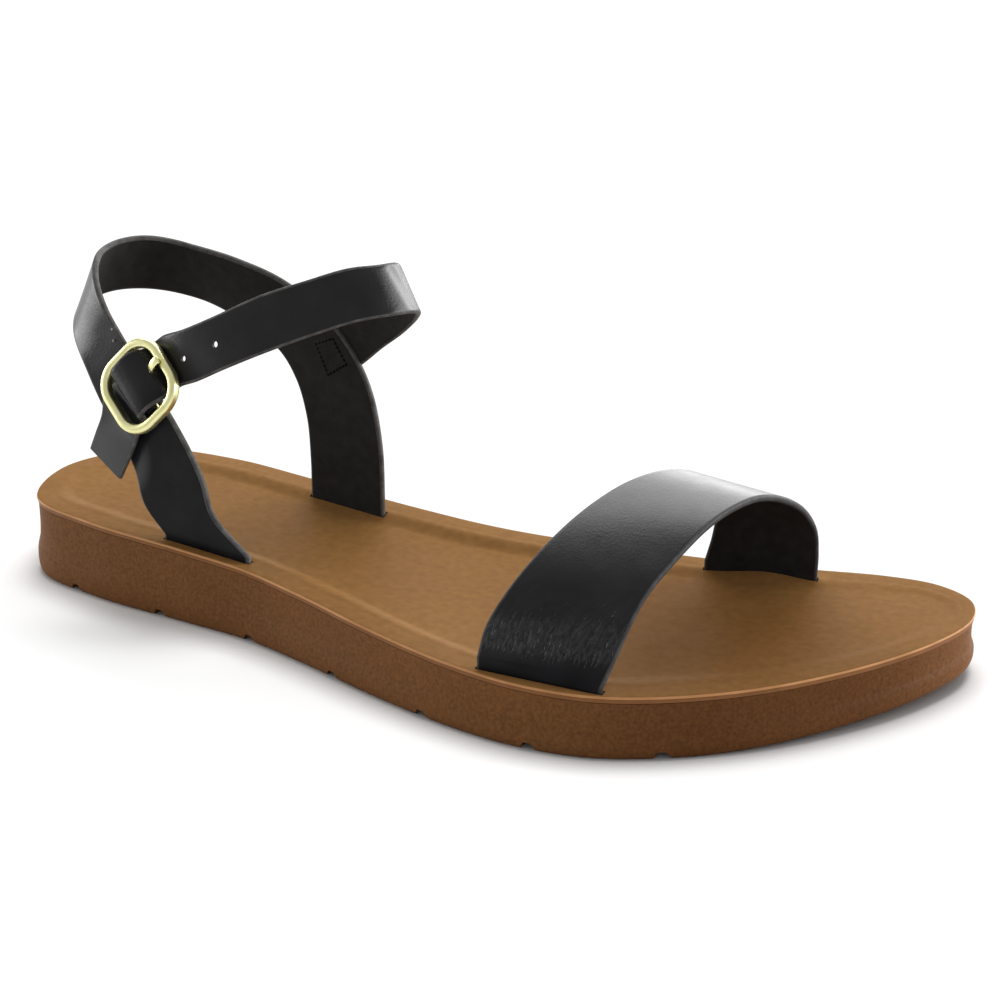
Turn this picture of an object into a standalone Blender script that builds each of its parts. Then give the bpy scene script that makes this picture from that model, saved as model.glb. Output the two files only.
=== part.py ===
"""Flat sandal for the right foot: a moulded sole and footbed, a toe band, and a
heel strap with a buckled ankle strap.

The toe points along +X, the inner (big toe) side is +Y and the floor is z = 0.
Tables are in millimetres and the model is in metres.
"""
import math

import bmesh
import bpy
import numpy as np
from mathutils import Matrix, Vector

MM = 0.001
GAP = 0.3

# Sole and footbed
SOLE_LENGTH = 262.0
FOOTBED_THICKNESS = 1.6
RIM_WIDTH = 7.0
DISH_SLOPE = 6.0
DISH_DEPTH = 1.5
TOE_SPRING_START = 84.0
TOE_SPRING_RISE = 3.4
TOE_SPRING_POWER = 1.3
STATIONS = 46

# Outline of the footbed seen from above, from the back of the heel along the
# outer side to the toe and back along the inner side
OUTLINE_COLUMNS = ("x", "y")
OUTLINE = (
    (-130.4, 8.6),
    (-122.0, -13.0),
    (-98.0, -21.5),
    (-66.0, -25.3),
    (-46.0, -27.6),
    (-26.0, -33.2),
    (0.0, -42.0),
    (26.0, -48.8),
    (45.0, -50.7),
    (64.5, -47.4),
    (90.3, -31.8),
    (110.4, -10.6),
    (124.8, 12.9),
    (130.1, 31.0),
    (126.9, 43.0),
    (116.6, 49.7),
    (103.0, 50.4),
    (77.0, 45.2),
    (38.7, 38.4),
    (0.0, 33.0),
    (-26.0, 33.4),
    (-65.0, 37.0),
    (-90.0, 39.3),
    (-112.5, 36.6),
    (-126.3, 24.0),
)

# Height of the footbed's edge along the sole
EDGE_COLUMNS = ("x", "height")
EDGE_HEIGHT = (
    (-131.0, 22.7),
    (-78.0, 21.9),
    (-26.0, 19.6),
    (26.0, 17.3),
    (77.0, 16.4),
    (131.0, 17.2),
)

# Share of the full dish depth along the sole
DISH_COLUMNS = ("x", "share")
DISH_SHARE = (
    (-131.0, 0.25),
    (-90.0, 0.8),
    (-40.0, 1.0),
    (30.0, 1.0),
    (75.0, 0.35),
    (131.0, 0.2),
)

# Share of the rim's and the slope's width that is kept towards the round ends
NARROWING_COLUMNS = ("x", "share")
NARROWING = (
    (-131.0, 0.8),
    (-100.0, 1.0),
    (90.0, 1.0),
    (131.0, 0.55),
)

# Side of the sole, from the floor up: a small round foot, a soft bulge, a waist
SIDE_COLUMNS = ("inset", "share of height")
SIDE_FOOT = (
    (1.3, 0.0),
    (0.55, 0.03),
    (0.1, 0.08),
)
SIDE_BULGE = (-0.3, 0.2)
SIDE_WAIST = (
    (-0.3, 0.31),
    (0.05, 0.42),
    (0.5, 0.54),
    (0.6, 0.74),
    (0.45, 1.0),
)
SIDE_WALL = (*SIDE_FOOT, SIDE_BULGE, *SIDE_WAIST)

# How far the side spreads at the floor, most of all behind the heel
FLARE_COLUMNS = ("x", "spread")
HEEL_FLARE = (
    (-131.0, 0.8),
    (-105.0, 0.3),
    (-70.0, 0.0),
    (-40.0, 0.0),
    (131.0, 0.0),
)

# Tread grooves across the sole
GROOVE_FIRST_X = -105.0
GROOVE_PITCH = 30.4
GROOVE_COUNT = 7
GROOVE_MOUTH = 4.4
GROOVE_FLOOR = 2.0
GROOVE_DEPTH = 2.2

# Toe band: the arches of its two edges, each near an upright plane through its
# slots, with the rear edge leaning forward of its plane on both sides of the foot
TOE_BAND_WALL = 1.8
TOE_BAND_REAR = ((32.0, -47.6), (58.1, 35.6))
TOE_BAND_FRONT = ((64.3, -45.3), (87.4, 40.2))
TOE_BAND_COLUMNS = ("rear across", "rear height", "rear lean", "front across", "front height")
TOE_BAND_ARCH = (
    (0.0, 20.0, 0.3, -1.2, 17.8),
    (2.3, 28.0, 1.3, 5.6, 25.6),
    (7.7, 34.2, 2.0, 10.6, 31.6),
    (15.0, 39.1, 2.0, 16.5, 36.8),
    (25.6, 43.6, 1.2, 26.0, 41.6),
    (40.2, 47.7, 0.4, 40.5, 46.9),
    (54.2, 49.8, 0.3, 52.5, 48.3),
    (66.5, 49.5, 0.9, 63.0, 47.3),
    (75.7, 47.4, 2.5, 73.7, 43.4),
    (82.0, 43.0, 4.1, 82.2, 38.0),
    (85.6, 35.5, 4.3, 87.6, 31.2),
    (86.9, 27.0, 2.5, 89.0, 24.0),
    (86.9, 19.0, 0.3, 89.0, 18.5),
)

# The last at the heel: an upright U that closes in towards its top
HEEL_CENTRE = (-90.0, 6.0)
HEEL_RADIUS = 25.5
HEEL_CLOSING = 9.5
HEEL_CLOSING_POWER = 5.0
HEEL_FOOT_Z = 21.0
HEEL_TOP_Z = 92.0
HEEL_SKEW = -0.10

# Heel strap on that last: places along the U from the back of the heel, positive
# on the outer side, with the heights of its two edges
HEEL_STRAP_WALL = 1.8
HEEL_STRAP_COLUMNS = ("lower along", "lower height", "upper along", "upper height")
HEEL_STRAP = (
    (56.4, 23.0, 84.3, 22.0),
    (49.5, 30.5, 73.4, 31.0),
    (47.0, 40.0, 69.8, 41.5),
    (37.6, 55.0, 60.6, 56.0),
    (29.5, 65.5, 47.6, 70.6),
    (19.5, 71.5, 32.5, 84.4),
    (9.0, 75.2, 18.5, 90.8),
    (0.0, 77.0, 4.5, 92.7),
    (-9.0, 77.4, -9.0, 93.4),
    (-20.0, 76.6, -22.0, 93.0),
    (-33.0, 74.4, -38.0, 90.8),
    (-46.5, 71.2, -55.0, 88.2),
    (-62.5, 63.6, -71.5, 82.4),
    (-69.5, 54.5, -86.0, 70.2),
    (-72.7, 43.5, -94.0, 56.5),
    (-73.5, 32.0, -97.5, 40.0),
    (-73.5, 22.5, -98.0, 22.0),
)

# Buckle: a square frame on the outer side of the heel strap, with the strap
# running along its first axis and its bars along the second
BUCKLE_CENTRE = (-75.97, -24.15, 64.74)
BUCKLE_RUN = (0.661, 0.225, 0.715)
BUCKLE_BAR = (-0.742, 0.333, 0.582)
FRAME_LENGTH = 21.6
FRAME_WIDTH = 23.0
FRAME_CORNER = 8.0
FRAME_ROD = 1.3
FRAME_DEEPEN = 1.15
FRAME_LIFT = 0.45
BAR_ROD = 0.7
BAR_DROP = 1.0
PRONG_ROD = 0.55
PRONG_WIDEN = 2.0
PRONG_GAP = 0.25
PRONG_ASIDE = 0.4
TAB_WALL = 0.9
TAB_WIDTH = 11.5
TAB_SLOT = 4.2

# Ankle strap from its sewn end on the inner side, which lies on the heel strap at
# places given in the same way, round the front of the ankle to the buckle, as the
# two edges of its middle surface
SEWN_LIFT = 0.35
SEWN_END = (
    (-81.6, 56.0, -74.6, 69.0),
    (-89.0, 60.0, -82.0, 73.0),
)
ANKLE_WALL = 1.5
ANKLE_COLUMNS = ("lower x", "lower y", "lower z", "upper x", "upper y", "upper z")
ANKLE_LOOP = (
    (-31.0, 23.6, 68.0, -37.5, 21.8, 80.8),
    (-22.3, 19.0, 74.4, -28.0, 17.2, 87.4),
    (-14.5, 12.6, 81.0, -20.0, 11.5, 93.8),
    (-9.6, 4.5, 85.8, -15.6, 4.8, 98.2),
    (-11.6, -4.8, 87.2, -16.6, -3.2, 99.4),
    (-19.0, -11.2, 85.8, -22.5, -9.2, 98.7),
    (-28.0, -16.2, 82.6, -31.2, -13.8, 95.8),
    (-39.0, -20.2, 78.0, -43.0, -17.6, 91.3),
    (-51.2, -22.0, 72.2, -57.1, -19.0, 84.1),
    (-60.1, -21.8, 67.6, -66.0, -18.5, 79.8),
)

# The same strap through the buckle, in the frame's own axes
THREADING_COLUMNS = ("along the run", "along the bar", "out of the frame", "turn in degrees", "width")
THREADING = (
    (10.2, -0.2, -2.4, 17.0, 14.8),
    (8.2, 0.0, -2.5, 12.0, 14.6),
    (6.6, 0.1, -1.9, 8.0, 14.2),
    (5.4, 0.1, -0.2, 4.0, 13.8),
    (4.0, 0.3, 1.3, 4.0, 14.8),
    (2.0, 0.5, 2.1, 4.0, 15.8),
    (-1.0, 0.5, 2.4, 3.0, 16.2),
    (-3.7, 0.4, 1.8, 0.0, 16.0),
    (-5.2, 0.4, -1.2, -3.0, 14.8),
    (-6.9, 0.7, -2.6, -6.0, 15.0),
    (-9.9, 0.9, -2.8, -9.0, 14.8),
)

# Free tail below the buckle, and its cut end
ANKLE_TAIL = (
    (-79.3, -23.1, 48.2, -91.2, -20.9, 53.9),
    (-82.0, -22.7, 43.2, -93.3, -20.9, 49.3),
)
ANKLE_TAIL_END = (-85.4, -22.3, 37.2, -95.8, -20.7, 44.0)

# Punched holes: two free ones, and the one that the prong goes through
HOLE_RADIUS = 1.05
HOLE_SPOTS = ((-54.7, -20.2, 77.8), (-64.9, -19.7, 72.5))
PRONG_HOLE_RUN = 5.1
PRONG_HOLE_RADIUS = 1.6

COLOURS = {
    "sole_brown": (0.115, 0.052, 0.022),
    "footbed_tan": (0.275, 0.145, 0.055),
    "strap_black": (0.012, 0.012, 0.013),
    "buckle_gold": (0.80, 0.71, 0.36),
}


def clear_scene():
    for obj in list(bpy.data.objects):
        bpy.data.objects.remove(obj, do_unlink=True)


def new_collection(name):
    collection = bpy.data.collections.new(name)
    bpy.context.scene.collection.children.link(collection)
    return collection


def finish(name, roughness, metallic=0.0):
    material = bpy.data.materials.new(name)
    material.use_nodes = True
    shader = material.node_tree.nodes["Principled BSDF"]
    shader.inputs["Base Color"].default_value = (*COLOURS[name], 1.0)
    shader.inputs["Roughness"].default_value = roughness
    shader.inputs["Metallic"].default_value = metallic
    return material


def mesh_object(name, bm, collection, material=None):
    """A named object from a bmesh whose points are in millimetres."""
    bmesh.ops.scale(bm, vec=(MM, MM, MM), verts=bm.verts)
    mesh = bpy.data.meshes.new(name)
    bm.to_mesh(mesh)
    bm.free()
    obj = bpy.data.objects.new(name, mesh)
    collection.objects.link(obj)
    if material:
        mesh.materials.append(material)
        mesh.shade_smooth()
        mesh.set_sharp_from_angle(angle=math.radians(35.0))
    return obj


def as_cutter(obj):
    obj.hide_render = True
    obj.display_type = "WIRE"


def boolean(target, other, operation):
    modifier = target.modifiers.new(f"{operation.title()} {other.name}", "BOOLEAN")
    modifier.operation = operation
    modifier.solver = "EXACT"
    modifier.object = other


def solidify(obj, wall, offset):
    modifier = obj.modifiers.new("Wall", "SOLIDIFY")
    modifier.thickness = wall * MM
    modifier.offset = offset
    modifier.use_even_offset = True


def along_table(table, x):
    """A smooth value at x from a table of (x, value) rows."""
    rows = np.array(table)
    knots = rows[:, 0]
    values = rows[:, 1]
    slopes = np.gradient(values, knots)
    spot = min(max(x, knots[0]), knots[-1])
    i = min(int(np.searchsorted(knots, spot, side="right")) - 1, len(knots) - 2)
    span = knots[i + 1] - knots[i]
    t = (spot - knots[i]) / span
    blend = (2 * t**3 - 3 * t**2 + 1, t**3 - 2 * t**2 + t, -2 * t**3 + 3 * t**2, t**3 - t**2)
    parts = (values[i], span * slopes[i], values[i + 1], span * slopes[i + 1])
    return float(np.dot(blend, parts))


def smooth_rows(rows, steps, closed=False):
    """Rows of numbers joined by a smooth curve, with the steps given between rows."""
    points = np.array(rows, dtype=float)
    if closed:
        points = np.vstack([points[-1:], points, points[:2]])
    gaps = np.sqrt(np.linalg.norm(np.diff(points, axis=0), axis=1))
    knots = np.concatenate([[0.0], np.cumsum(gaps)])
    slopes = np.gradient(points, knots, axis=0)
    first, last = (1, len(points) - 2) if closed else (0, len(points) - 1)
    curve = []
    for i in range(first, last):
        span = knots[i + 1] - knots[i]
        for step in range(steps):
            t = step / steps
            curve.append(
                (2 * t**3 - 3 * t**2 + 1) * points[i]
                + (t**3 - 2 * t**2 + t) * span * slopes[i]
                + (-2 * t**3 + 3 * t**2) * points[i + 1]
                + (t**3 - t**2) * span * slopes[i + 1]
            )
    if not closed:
        curve.append(points[-1])
    return np.array(curve)


def sole_outline():
    """Outline points on the outer and inner side at the same stations, heel to toe."""
    curve = smooth_rows(OUTLINE, 24, closed=True)
    heel = int(np.argmin(curve[:, 0]))
    curve = np.roll(curve, -heel, axis=0)
    toe = int(np.argmax(curve[:, 0]))
    outer = curve[: toe + 1]
    inner = np.vstack([curve[toe:], curve[:1]])[::-1]
    angles = np.linspace(0.0, math.pi, STATIONS + 1)
    low, high = curve[0, 0], curve[toe, 0]
    xs = 0.5 * (low + high) - 0.5 * (high - low) * np.cos(angles)
    outer_y = np.interp(xs, outer[:, 0], outer[:, 1])
    inner_y = np.interp(xs, inner[:, 0], inner[:, 1])
    ring = [(x, y) for x, y in zip(xs, outer_y)]
    ring += [(x, y) for x, y in zip(xs[-2:0:-1], inner_y[-2:0:-1])]
    ring = np.array(ring)
    widest = side_ring(ring, *SIDE_BULGE)
    box_middle = 0.5 * (widest.min(axis=0) + widest.max(axis=0))
    return ring - box_middle


def inset_ring(ring, inset):
    """The outline moved inwards by a distance, one for all points or one each."""
    ahead = np.roll(ring, -1, axis=0) - np.roll(ring, 1, axis=0)
    ahead /= np.linalg.norm(ahead, axis=1)[:, None]
    inwards = np.stack([-ahead[:, 1], ahead[:, 0]], axis=1)
    return ring + np.reshape(inset, (-1, 1)) * inwards


def side_ring(outline, inset, share):
    """The outline at a height of the sole's side, with the spread it has there."""
    spread = np.array([along_table(HEEL_FLARE, x) for x, y in outline])
    return inset_ring(outline, inset - (1.0 - share) * spread)


def edge_height(x):
    return along_table(EDGE_HEIGHT, x)


def dish(x, inset):
    """How far the footbed lies below its rim at a distance from its edge."""
    t = min(max((inset - RIM_WIDTH) / DISH_SLOPE, 0.0), 1.0)
    return DISH_DEPTH * along_table(DISH_SHARE, x) * t * t * (3.0 - 2.0 * t)


def floor_height(x):
    """Underside of the sole: flat, rising at the toe."""
    reach = SOLE_LENGTH / 2.0 - TOE_SPRING_START
    t = max(0.0, (x - TOE_SPRING_START) / reach)
    return TOE_SPRING_RISE * t**TOE_SPRING_POWER


def loft_body(rings):
    """A closed bmesh skinned over rings of equal count, each end closed across."""
    bm = bmesh.new()
    count = len(rings[0])
    layers = [[bm.verts.new(point) for point in ring] for ring in rings]
    for lower, upper in zip(layers, layers[1:]):
        for i in range(count):
            j = (i + 1) % count
            bm.faces.new((lower[i], lower[j], upper[j], upper[i]))
    for layer, turned in ((layers[0], True), (layers[-1], False)):
        half = count // 2
        for i in range(half):
            face = [layer[i], layer[i + 1], layer[(count - i - 1) % count], layer[(count - i) % count]]
            face = list(dict.fromkeys(face))
            bm.faces.new(reversed(face) if turned else face)
    bmesh.ops.recalc_face_normals(bm, faces=bm.faces)
    return bm


def ring_at(outline, inset, height):
    """A ring of points at an inset, with heights from a function of x and inset."""
    spots, shares = np.transpose(NARROWING)
    narrowed = inset * np.interp(outline[:, 0], spots, shares)
    return [(x, y, height(x, inset)) for x, y in inset_ring(outline, narrowed)]


def footbed_top(x, inset):
    return edge_height(x) - dish(x, inset)


def sole_top(x, inset):
    return footbed_top(x, inset) - FOOTBED_THICKNESS - GAP


DISH_INSETS = tuple(RIM_WIDTH + DISH_SLOPE * share for share in (0.0, 0.35, 0.65, 1.0))


def make_sole(outline, collection, cutters, material):
    rings = []
    for inset, share in SIDE_WALL:
        rings.append([(x, y, (1.0 - share) * floor_height(x) + share * sole_top(x, 0.0))
                      for x, y in side_ring(outline, inset, share)])
    for inset in DISH_INSETS:
        rings.append(ring_at(outline, inset, sole_top))
    sole = mesh_object("unit_sole", loft_body(rings), collection, material)
    grooves = mesh_object("tread_groove_cutter", groove_body(), cutters)
    as_cutter(grooves)
    boolean(sole, grooves, "DIFFERENCE")
    return sole


def groove_body():
    """Wedge bars across the sole, one for each tread groove."""
    bm = bmesh.new()
    reach = SOLE_LENGTH / 2.0
    for i in range(GROOVE_COUNT):
        x = GROOVE_FIRST_X + i * GROOVE_PITCH
        bar = bmesh.ops.create_cube(bm, size=1.0)["verts"]
        for vert in bar:
            top = vert.co.z > 0.0
            width = GROOVE_FLOOR if top else GROOVE_MOUTH
            floor = floor_height(x)
            vert.co.x = x + width * vert.co.x
            vert.co.y = reach * vert.co.y
            vert.co.z = floor + GROOVE_DEPTH if top else floor - GROOVE_DEPTH * 0.02
    return bm


def make_footbed(outline, collection, cutters, material, slots):
    under = [ring_at(outline, inset, lambda x, at: footbed_top(x, at) - FOOTBED_THICKNESS)
             for inset in reversed(DISH_INSETS)]
    edge = [
        ring_at(outline, 0.25, lambda x, at: footbed_top(x, 0.0) - FOOTBED_THICKNESS),
        ring_at(outline, 0.0, lambda x, at: footbed_top(x, 0.0) - 0.75 * FOOTBED_THICKNESS),
        ring_at(outline, 0.0, lambda x, at: footbed_top(x, 0.0) - 0.3 * FOOTBED_THICKNESS),
        ring_at(outline, 0.5, footbed_top),
    ]
    over = [ring_at(outline, inset, footbed_top) for inset in DISH_INSETS]
    footbed = mesh_object("footbed", loft_body(under + edge + over), collection, material)
    for name, low, high, wall in slots:
        cutter = mesh_object(f"{name}_slot_cutter", slot_body(low, high, wall), cutters)
        as_cutter(cutter)
        boolean(footbed, cutter, "DIFFERENCE")
    return footbed


def slot_body(low, high, wall):
    """An upright box round the foot of a strap, with a small gap all round."""
    low = Vector(low)
    high = Vector(high)
    run = (high - low).xy.to_3d()
    bm = bmesh.new()
    bmesh.ops.create_cube(bm, size=1.0)
    size = Vector((run.length + 2.0 * GAP, wall + 2.0 * GAP, 12.0))
    bmesh.ops.scale(bm, vec=size, verts=bm.verts)
    turn = Matrix.Rotation(math.atan2(run.y, run.x), 4, "Z")
    place = Matrix.Translation((low + high) / 2.0)
    bmesh.ops.transform(bm, matrix=place @ turn, verts=bm.verts)
    return bm


def band_sheet(rows, across):
    """An open surface between two edges, given as rows of lower and upper points."""
    bm = bmesh.new()
    layers = []
    for row in rows:
        lower = Vector(row[:3])
        upper = Vector(row[3:])
        layers.append([bm.verts.new(lower.lerp(upper, i / across)) for i in range(across + 1)])
    for a, b in zip(layers, layers[1:]):
        for i in range(across):
            bm.faces.new((a[i], a[i + 1], b[i + 1], b[i]))
    return bm


def heel_last(along, z):
    """A point on the heel's last from its place along the U and its height."""
    rise = max(0.0, (z - HEEL_FOOT_Z) / (HEEL_TOP_Z - HEEL_FOOT_Z))
    radius = HEEL_RADIUS - HEEL_CLOSING * rise**HEEL_CLOSING_POWER
    side = math.copysign(1.0, along)
    quarter = HEEL_RADIUS * math.pi / 2.0
    angle = min(abs(along), quarter) / HEEL_RADIUS
    ahead = max(0.0, abs(along) - quarter)
    x = HEEL_CENTRE[0] + ahead - radius * math.cos(angle)
    y = HEEL_CENTRE[1] + HEEL_SKEW * ahead - side * radius * math.sin(angle)
    return x, y, z


def footing(x):
    """Height at which the foot of a strap ends inside its slot."""
    return edge_height(x) - FOOTBED_THICKNESS


def lowered(row):
    """A strap's end row carried straight down into the footbed."""
    return (row[0], row[1], footing(row[0]), row[3], row[4], footing(row[3]))


def heel_strap_rows():
    curve = smooth_rows(HEEL_STRAP, 4)
    rows = [(*heel_last(r[0], r[1]), *heel_last(r[2], r[3])) for r in curve]
    return [lowered(rows[0])] + rows + [lowered(rows[-1])]


def toe_band_rows():
    rows = []
    for rear_s, rear_z, lean, front_s, front_z in smooth_rows(TOE_BAND_ARCH, 4):
        rear = on_arch(TOE_BAND_REAR, rear_s, lean)
        front = on_arch(TOE_BAND_FRONT, front_s, 0.0)
        rows.append((*rear, rear_z, *front, front_z))
    return [lowered(rows[0])] + rows + [lowered(rows[-1])]


def on_arch(plane, across, lean):
    """A place on the floor plan at a distance along an arch's plane and ahead of it."""
    start = Vector(plane[0])
    way = (Vector(plane[1]) - start).normalized()
    return start + way * across + Vector((way.y, -way.x)) * lean


def buckle_axes():
    run = Vector(BUCKLE_RUN).normalized()
    bar = Vector(BUCKLE_BAR)
    bar = (bar - run * bar.dot(run)).normalized()
    return run, bar, run.cross(bar)


def buckle_matrix():
    """Places the frame's own axes (run, bar, out) on the sandal."""
    run, bar, out = buckle_axes()
    turn = Matrix((run, bar, out)).transposed().to_4x4()
    return Matrix.Translation(Vector(BUCKLE_CENTRE)) @ turn


def threading_rows():
    place = buckle_matrix()
    rows = []
    for run, bar, out, turn, width in THREADING:
        angle = math.radians(turn)
        half = Vector((math.sin(angle), math.cos(angle), 0.0)) * width / 2.0
        middle = Vector((run, bar, out))
        rows.append((*(place @ (middle - half)), *(place @ (middle + half))))
    return rows


def sewn_rows():
    rows = []
    for low_along, low_z, high_along, high_z in SEWN_END:
        low = Vector(heel_last(low_along, low_z)) + Vector((0.0, SEWN_LIFT, 0.0))
        high = Vector(heel_last(high_along, high_z)) + Vector((0.0, SEWN_LIFT, 0.0))
        rows.append((*low, *high))
    return rows


def ankle_strap_rows():
    rows = sewn_rows() + list(ANKLE_LOOP) + threading_rows() + list(ANKLE_TAIL)
    return list(smooth_rows(rows, 4)) + [ANKLE_TAIL_END]


def strap_facing(spot):
    """The way out of the ankle strap's face nearest a spot."""
    rows = [np.array(row) for row in ankle_strap_rows()]
    middles = [Vector(0.5 * (row[:3] + row[3:])) for row in rows]
    nearest = min(range(1, len(rows) - 1), key=lambda i: (middles[i] - Vector(spot)).length)
    run = middles[nearest + 1] - middles[nearest - 1]
    wide = Vector(rows[nearest][3:] - rows[nearest][:3])
    return run.cross(wide).normalized()


def punch_body(middle, way, radius, length):
    bm = bmesh.new()
    bmesh.ops.create_cone(bm, cap_ends=True, segments=16, radius1=radius, radius2=radius, depth=length)
    turn = way.to_track_quat("Z", "Y").to_matrix().to_4x4()
    bmesh.ops.transform(bm, matrix=Matrix.Translation(middle) @ turn, verts=bm.verts)
    return bm


def make_ankle_upper(collection, cutters, material):
    upper = mesh_object("ankle_upper", band_sheet(heel_strap_rows(), 4), collection, material)
    solidify(upper, HEEL_STRAP_WALL, -1.0)
    strap = mesh_object("ankle_strap_form", band_sheet(ankle_strap_rows(), 3), cutters)
    solidify(strap, ANKLE_WALL, 0.0)
    as_cutter(strap)
    boolean(upper, strap, "UNION")
    for i, spot in enumerate(HOLE_SPOTS):
        body = punch_body(Vector(spot), strap_facing(spot), HOLE_RADIUS, 8.0)
        punch = mesh_object(f"hole_punch_{i + 1}", body, cutters)
        as_cutter(punch)
        boolean(upper, punch, "DIFFERENCE")
    place = buckle_matrix()
    middle = place @ Vector((PRONG_HOLE_RUN, PRONG_ASIDE, 0.0))
    way = place.to_3x3() @ Vector((0.0, 0.0, 1.0))
    punch = mesh_object("prong_hole_punch", punch_body(middle, way, PRONG_HOLE_RADIUS, 7.0), cutters)
    as_cutter(punch)
    boolean(upper, punch, "DIFFERENCE")
    return upper


def make_toe_band(collection, material):
    band = mesh_object("toe_band", band_sheet(toe_band_rows(), 5), collection, material)
    solidify(band, TOE_BAND_WALL, -1.0)
    return band


def rod(name, points, radius, cyclic=False):
    """A round rod along points in the buckle's axes, as a closed mesh."""
    curve = bpy.data.curves.new(name, "CURVE")
    curve.dimensions = "3D"
    curve.bevel_depth = radius * MM
    curve.bevel_resolution = 2
    curve.use_fill_caps = True
    spline = curve.splines.new("POLY")
    spline.points.add(len(points) - 1)
    for point, target in zip(points, spline.points):
        target.co = (*(Vector(point) * MM), 1.0)
    spline.use_cyclic_u = cyclic
    holder = bpy.data.objects.new(name, curve)
    bpy.context.scene.collection.objects.link(holder)
    graph = bpy.context.evaluated_depsgraph_get()
    mesh = bpy.data.meshes.new_from_object(holder.evaluated_get(graph))
    bpy.data.objects.remove(holder, do_unlink=True)
    bpy.data.curves.remove(curve)
    bm = bmesh.new()
    bm.from_mesh(mesh)
    bpy.data.meshes.remove(mesh)
    bmesh.ops.remove_doubles(bm, verts=bm.verts, dist=0.01 * MM)
    bmesh.ops.scale(bm, vec=(1.0 / MM, 1.0 / MM, 1.0 / MM), verts=bm.verts)
    bmesh.ops.recalc_face_normals(bm, faces=bm.faces)
    return bm


def rounded_square(length, width, corner, steps):
    """Points round a square with arcs at its corners."""
    points = []
    for quarter in range(4):
        sign_x = (1, -1, -1, 1)[quarter]
        sign_y = (1, 1, -1, -1)[quarter]
        for i in range(steps + 1):
            angle = math.pi / 2.0 * (quarter + i / steps)
            x = sign_x * (length / 2.0 - corner) + corner * math.cos(angle)
            y = sign_y * (width / 2.0 - corner) + corner * math.sin(angle)
            points.append((x, y, 0.0))
    return points


def place_on_sandal(bm):
    bmesh.ops.transform(bm, matrix=buckle_matrix(), verts=bm.verts)
    return bm


def make_buckle_frame(collection, cutters, material):
    length = FRAME_LENGTH - 2.0 * FRAME_ROD
    width = FRAME_WIDTH - 2.0 * FRAME_ROD
    ring = rod("ring", rounded_square(length, width, FRAME_CORNER - FRAME_ROD, 7), FRAME_ROD, cyclic=True)
    bmesh.ops.scale(ring, vec=(1.0, 1.0, FRAME_DEEPEN), verts=ring.verts)
    bmesh.ops.translate(ring, vec=(0.0, 0.0, FRAME_LIFT), verts=ring.verts)
    frame = mesh_object("buckle_frame", place_on_sandal(ring), collection, material)
    reach = width / 2.0
    ends = [(0.0, -reach, -0.3 * BAR_DROP), (0.0, 0.7 - reach, -BAR_DROP),
            (0.0, reach - 0.7, -BAR_DROP), (0.0, reach, -0.3 * BAR_DROP)]
    bar = mesh_object("centre_bar_form", place_on_sandal(rod("bar", ends, BAR_ROD)), cutters)
    as_cutter(bar)
    boolean(frame, bar, "UNION")
    return frame


def make_buckle_prong(collection, material):
    """A wire hooked round the centre bar, through the strap, onto the frame."""
    hook = BAR_ROD + PRONG_GAP + PRONG_ROD
    points = []
    for i in range(13):
        angle = math.radians(20.0 + 250.0 * i / 12.0)
        points.append((hook * math.cos(angle), 0.0, hook * math.sin(angle) - BAR_DROP))
    points.reverse()
    side = FRAME_LENGTH / 2.0 - FRAME_ROD
    rest = FRAME_LIFT + FRAME_ROD * FRAME_DEEPEN + PRONG_GAP + PRONG_ROD
    points += [(PRONG_HOLE_RUN - 0.7, 0.0, -0.9), (PRONG_HOLE_RUN + 0.9, 0.0, 1.6),
               (side - 1.8, 0.0, rest - 0.2), (side, 0.0, rest), (side + 0.6, 0.0, rest - 0.1)]
    prong = rod("prong", points, PRONG_ROD)
    bmesh.ops.scale(prong, vec=(1.0, PRONG_WIDEN, 1.0), verts=prong.verts)
    bmesh.ops.translate(prong, vec=(0.0, PRONG_ASIDE, 0.0), verts=prong.verts)
    return mesh_object("buckle_prong", place_on_sandal(prong), collection, material)


def make_buckle_tab(collection, cutters, material):
    """A leather loop round the centre bar, slit in the middle for the prong."""
    inner = BAR_ROD + GAP
    outer = inner + TAB_WALL
    bm = bmesh.new()
    sheet = []
    for i in range(15):
        angle = math.radians(-88.0 + 176.0 * i / 14.0)
        sheet.append((0.5 * (inner + outer) * math.cos(angle), 0.5 * (inner + outer) * math.sin(angle)))
    sheet = [(-3.7, sheet[0][1])] + sheet + [(-3.2, sheet[-1][1])]
    layers = []
    for run, out in sheet:
        layers.append([bm.verts.new((run, y, out - BAR_DROP)) for y in (-TAB_WIDTH / 2.0, TAB_WIDTH / 2.0)])
    for a, b in zip(layers, layers[1:]):
        bm.faces.new((a[0], b[0], b[1], a[1]))
    tab = mesh_object("buckle_tab", place_on_sandal(bm), collection, material)
    solidify(tab, TAB_WALL, 0.0)
    slit = bmesh.new()
    bmesh.ops.create_cube(slit, size=1.0)
    bmesh.ops.scale(slit, vec=(8.0, TAB_SLOT, 8.0), verts=slit.verts)
    bmesh.ops.translate(slit, vec=(1.5, PRONG_ASIDE, -BAR_DROP), verts=slit.verts)
    cutter = mesh_object("tab_slit_cutter", place_on_sandal(slit), cutters)
    as_cutter(cutter)
    boolean(tab, cutter, "DIFFERENCE")
    return tab


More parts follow.
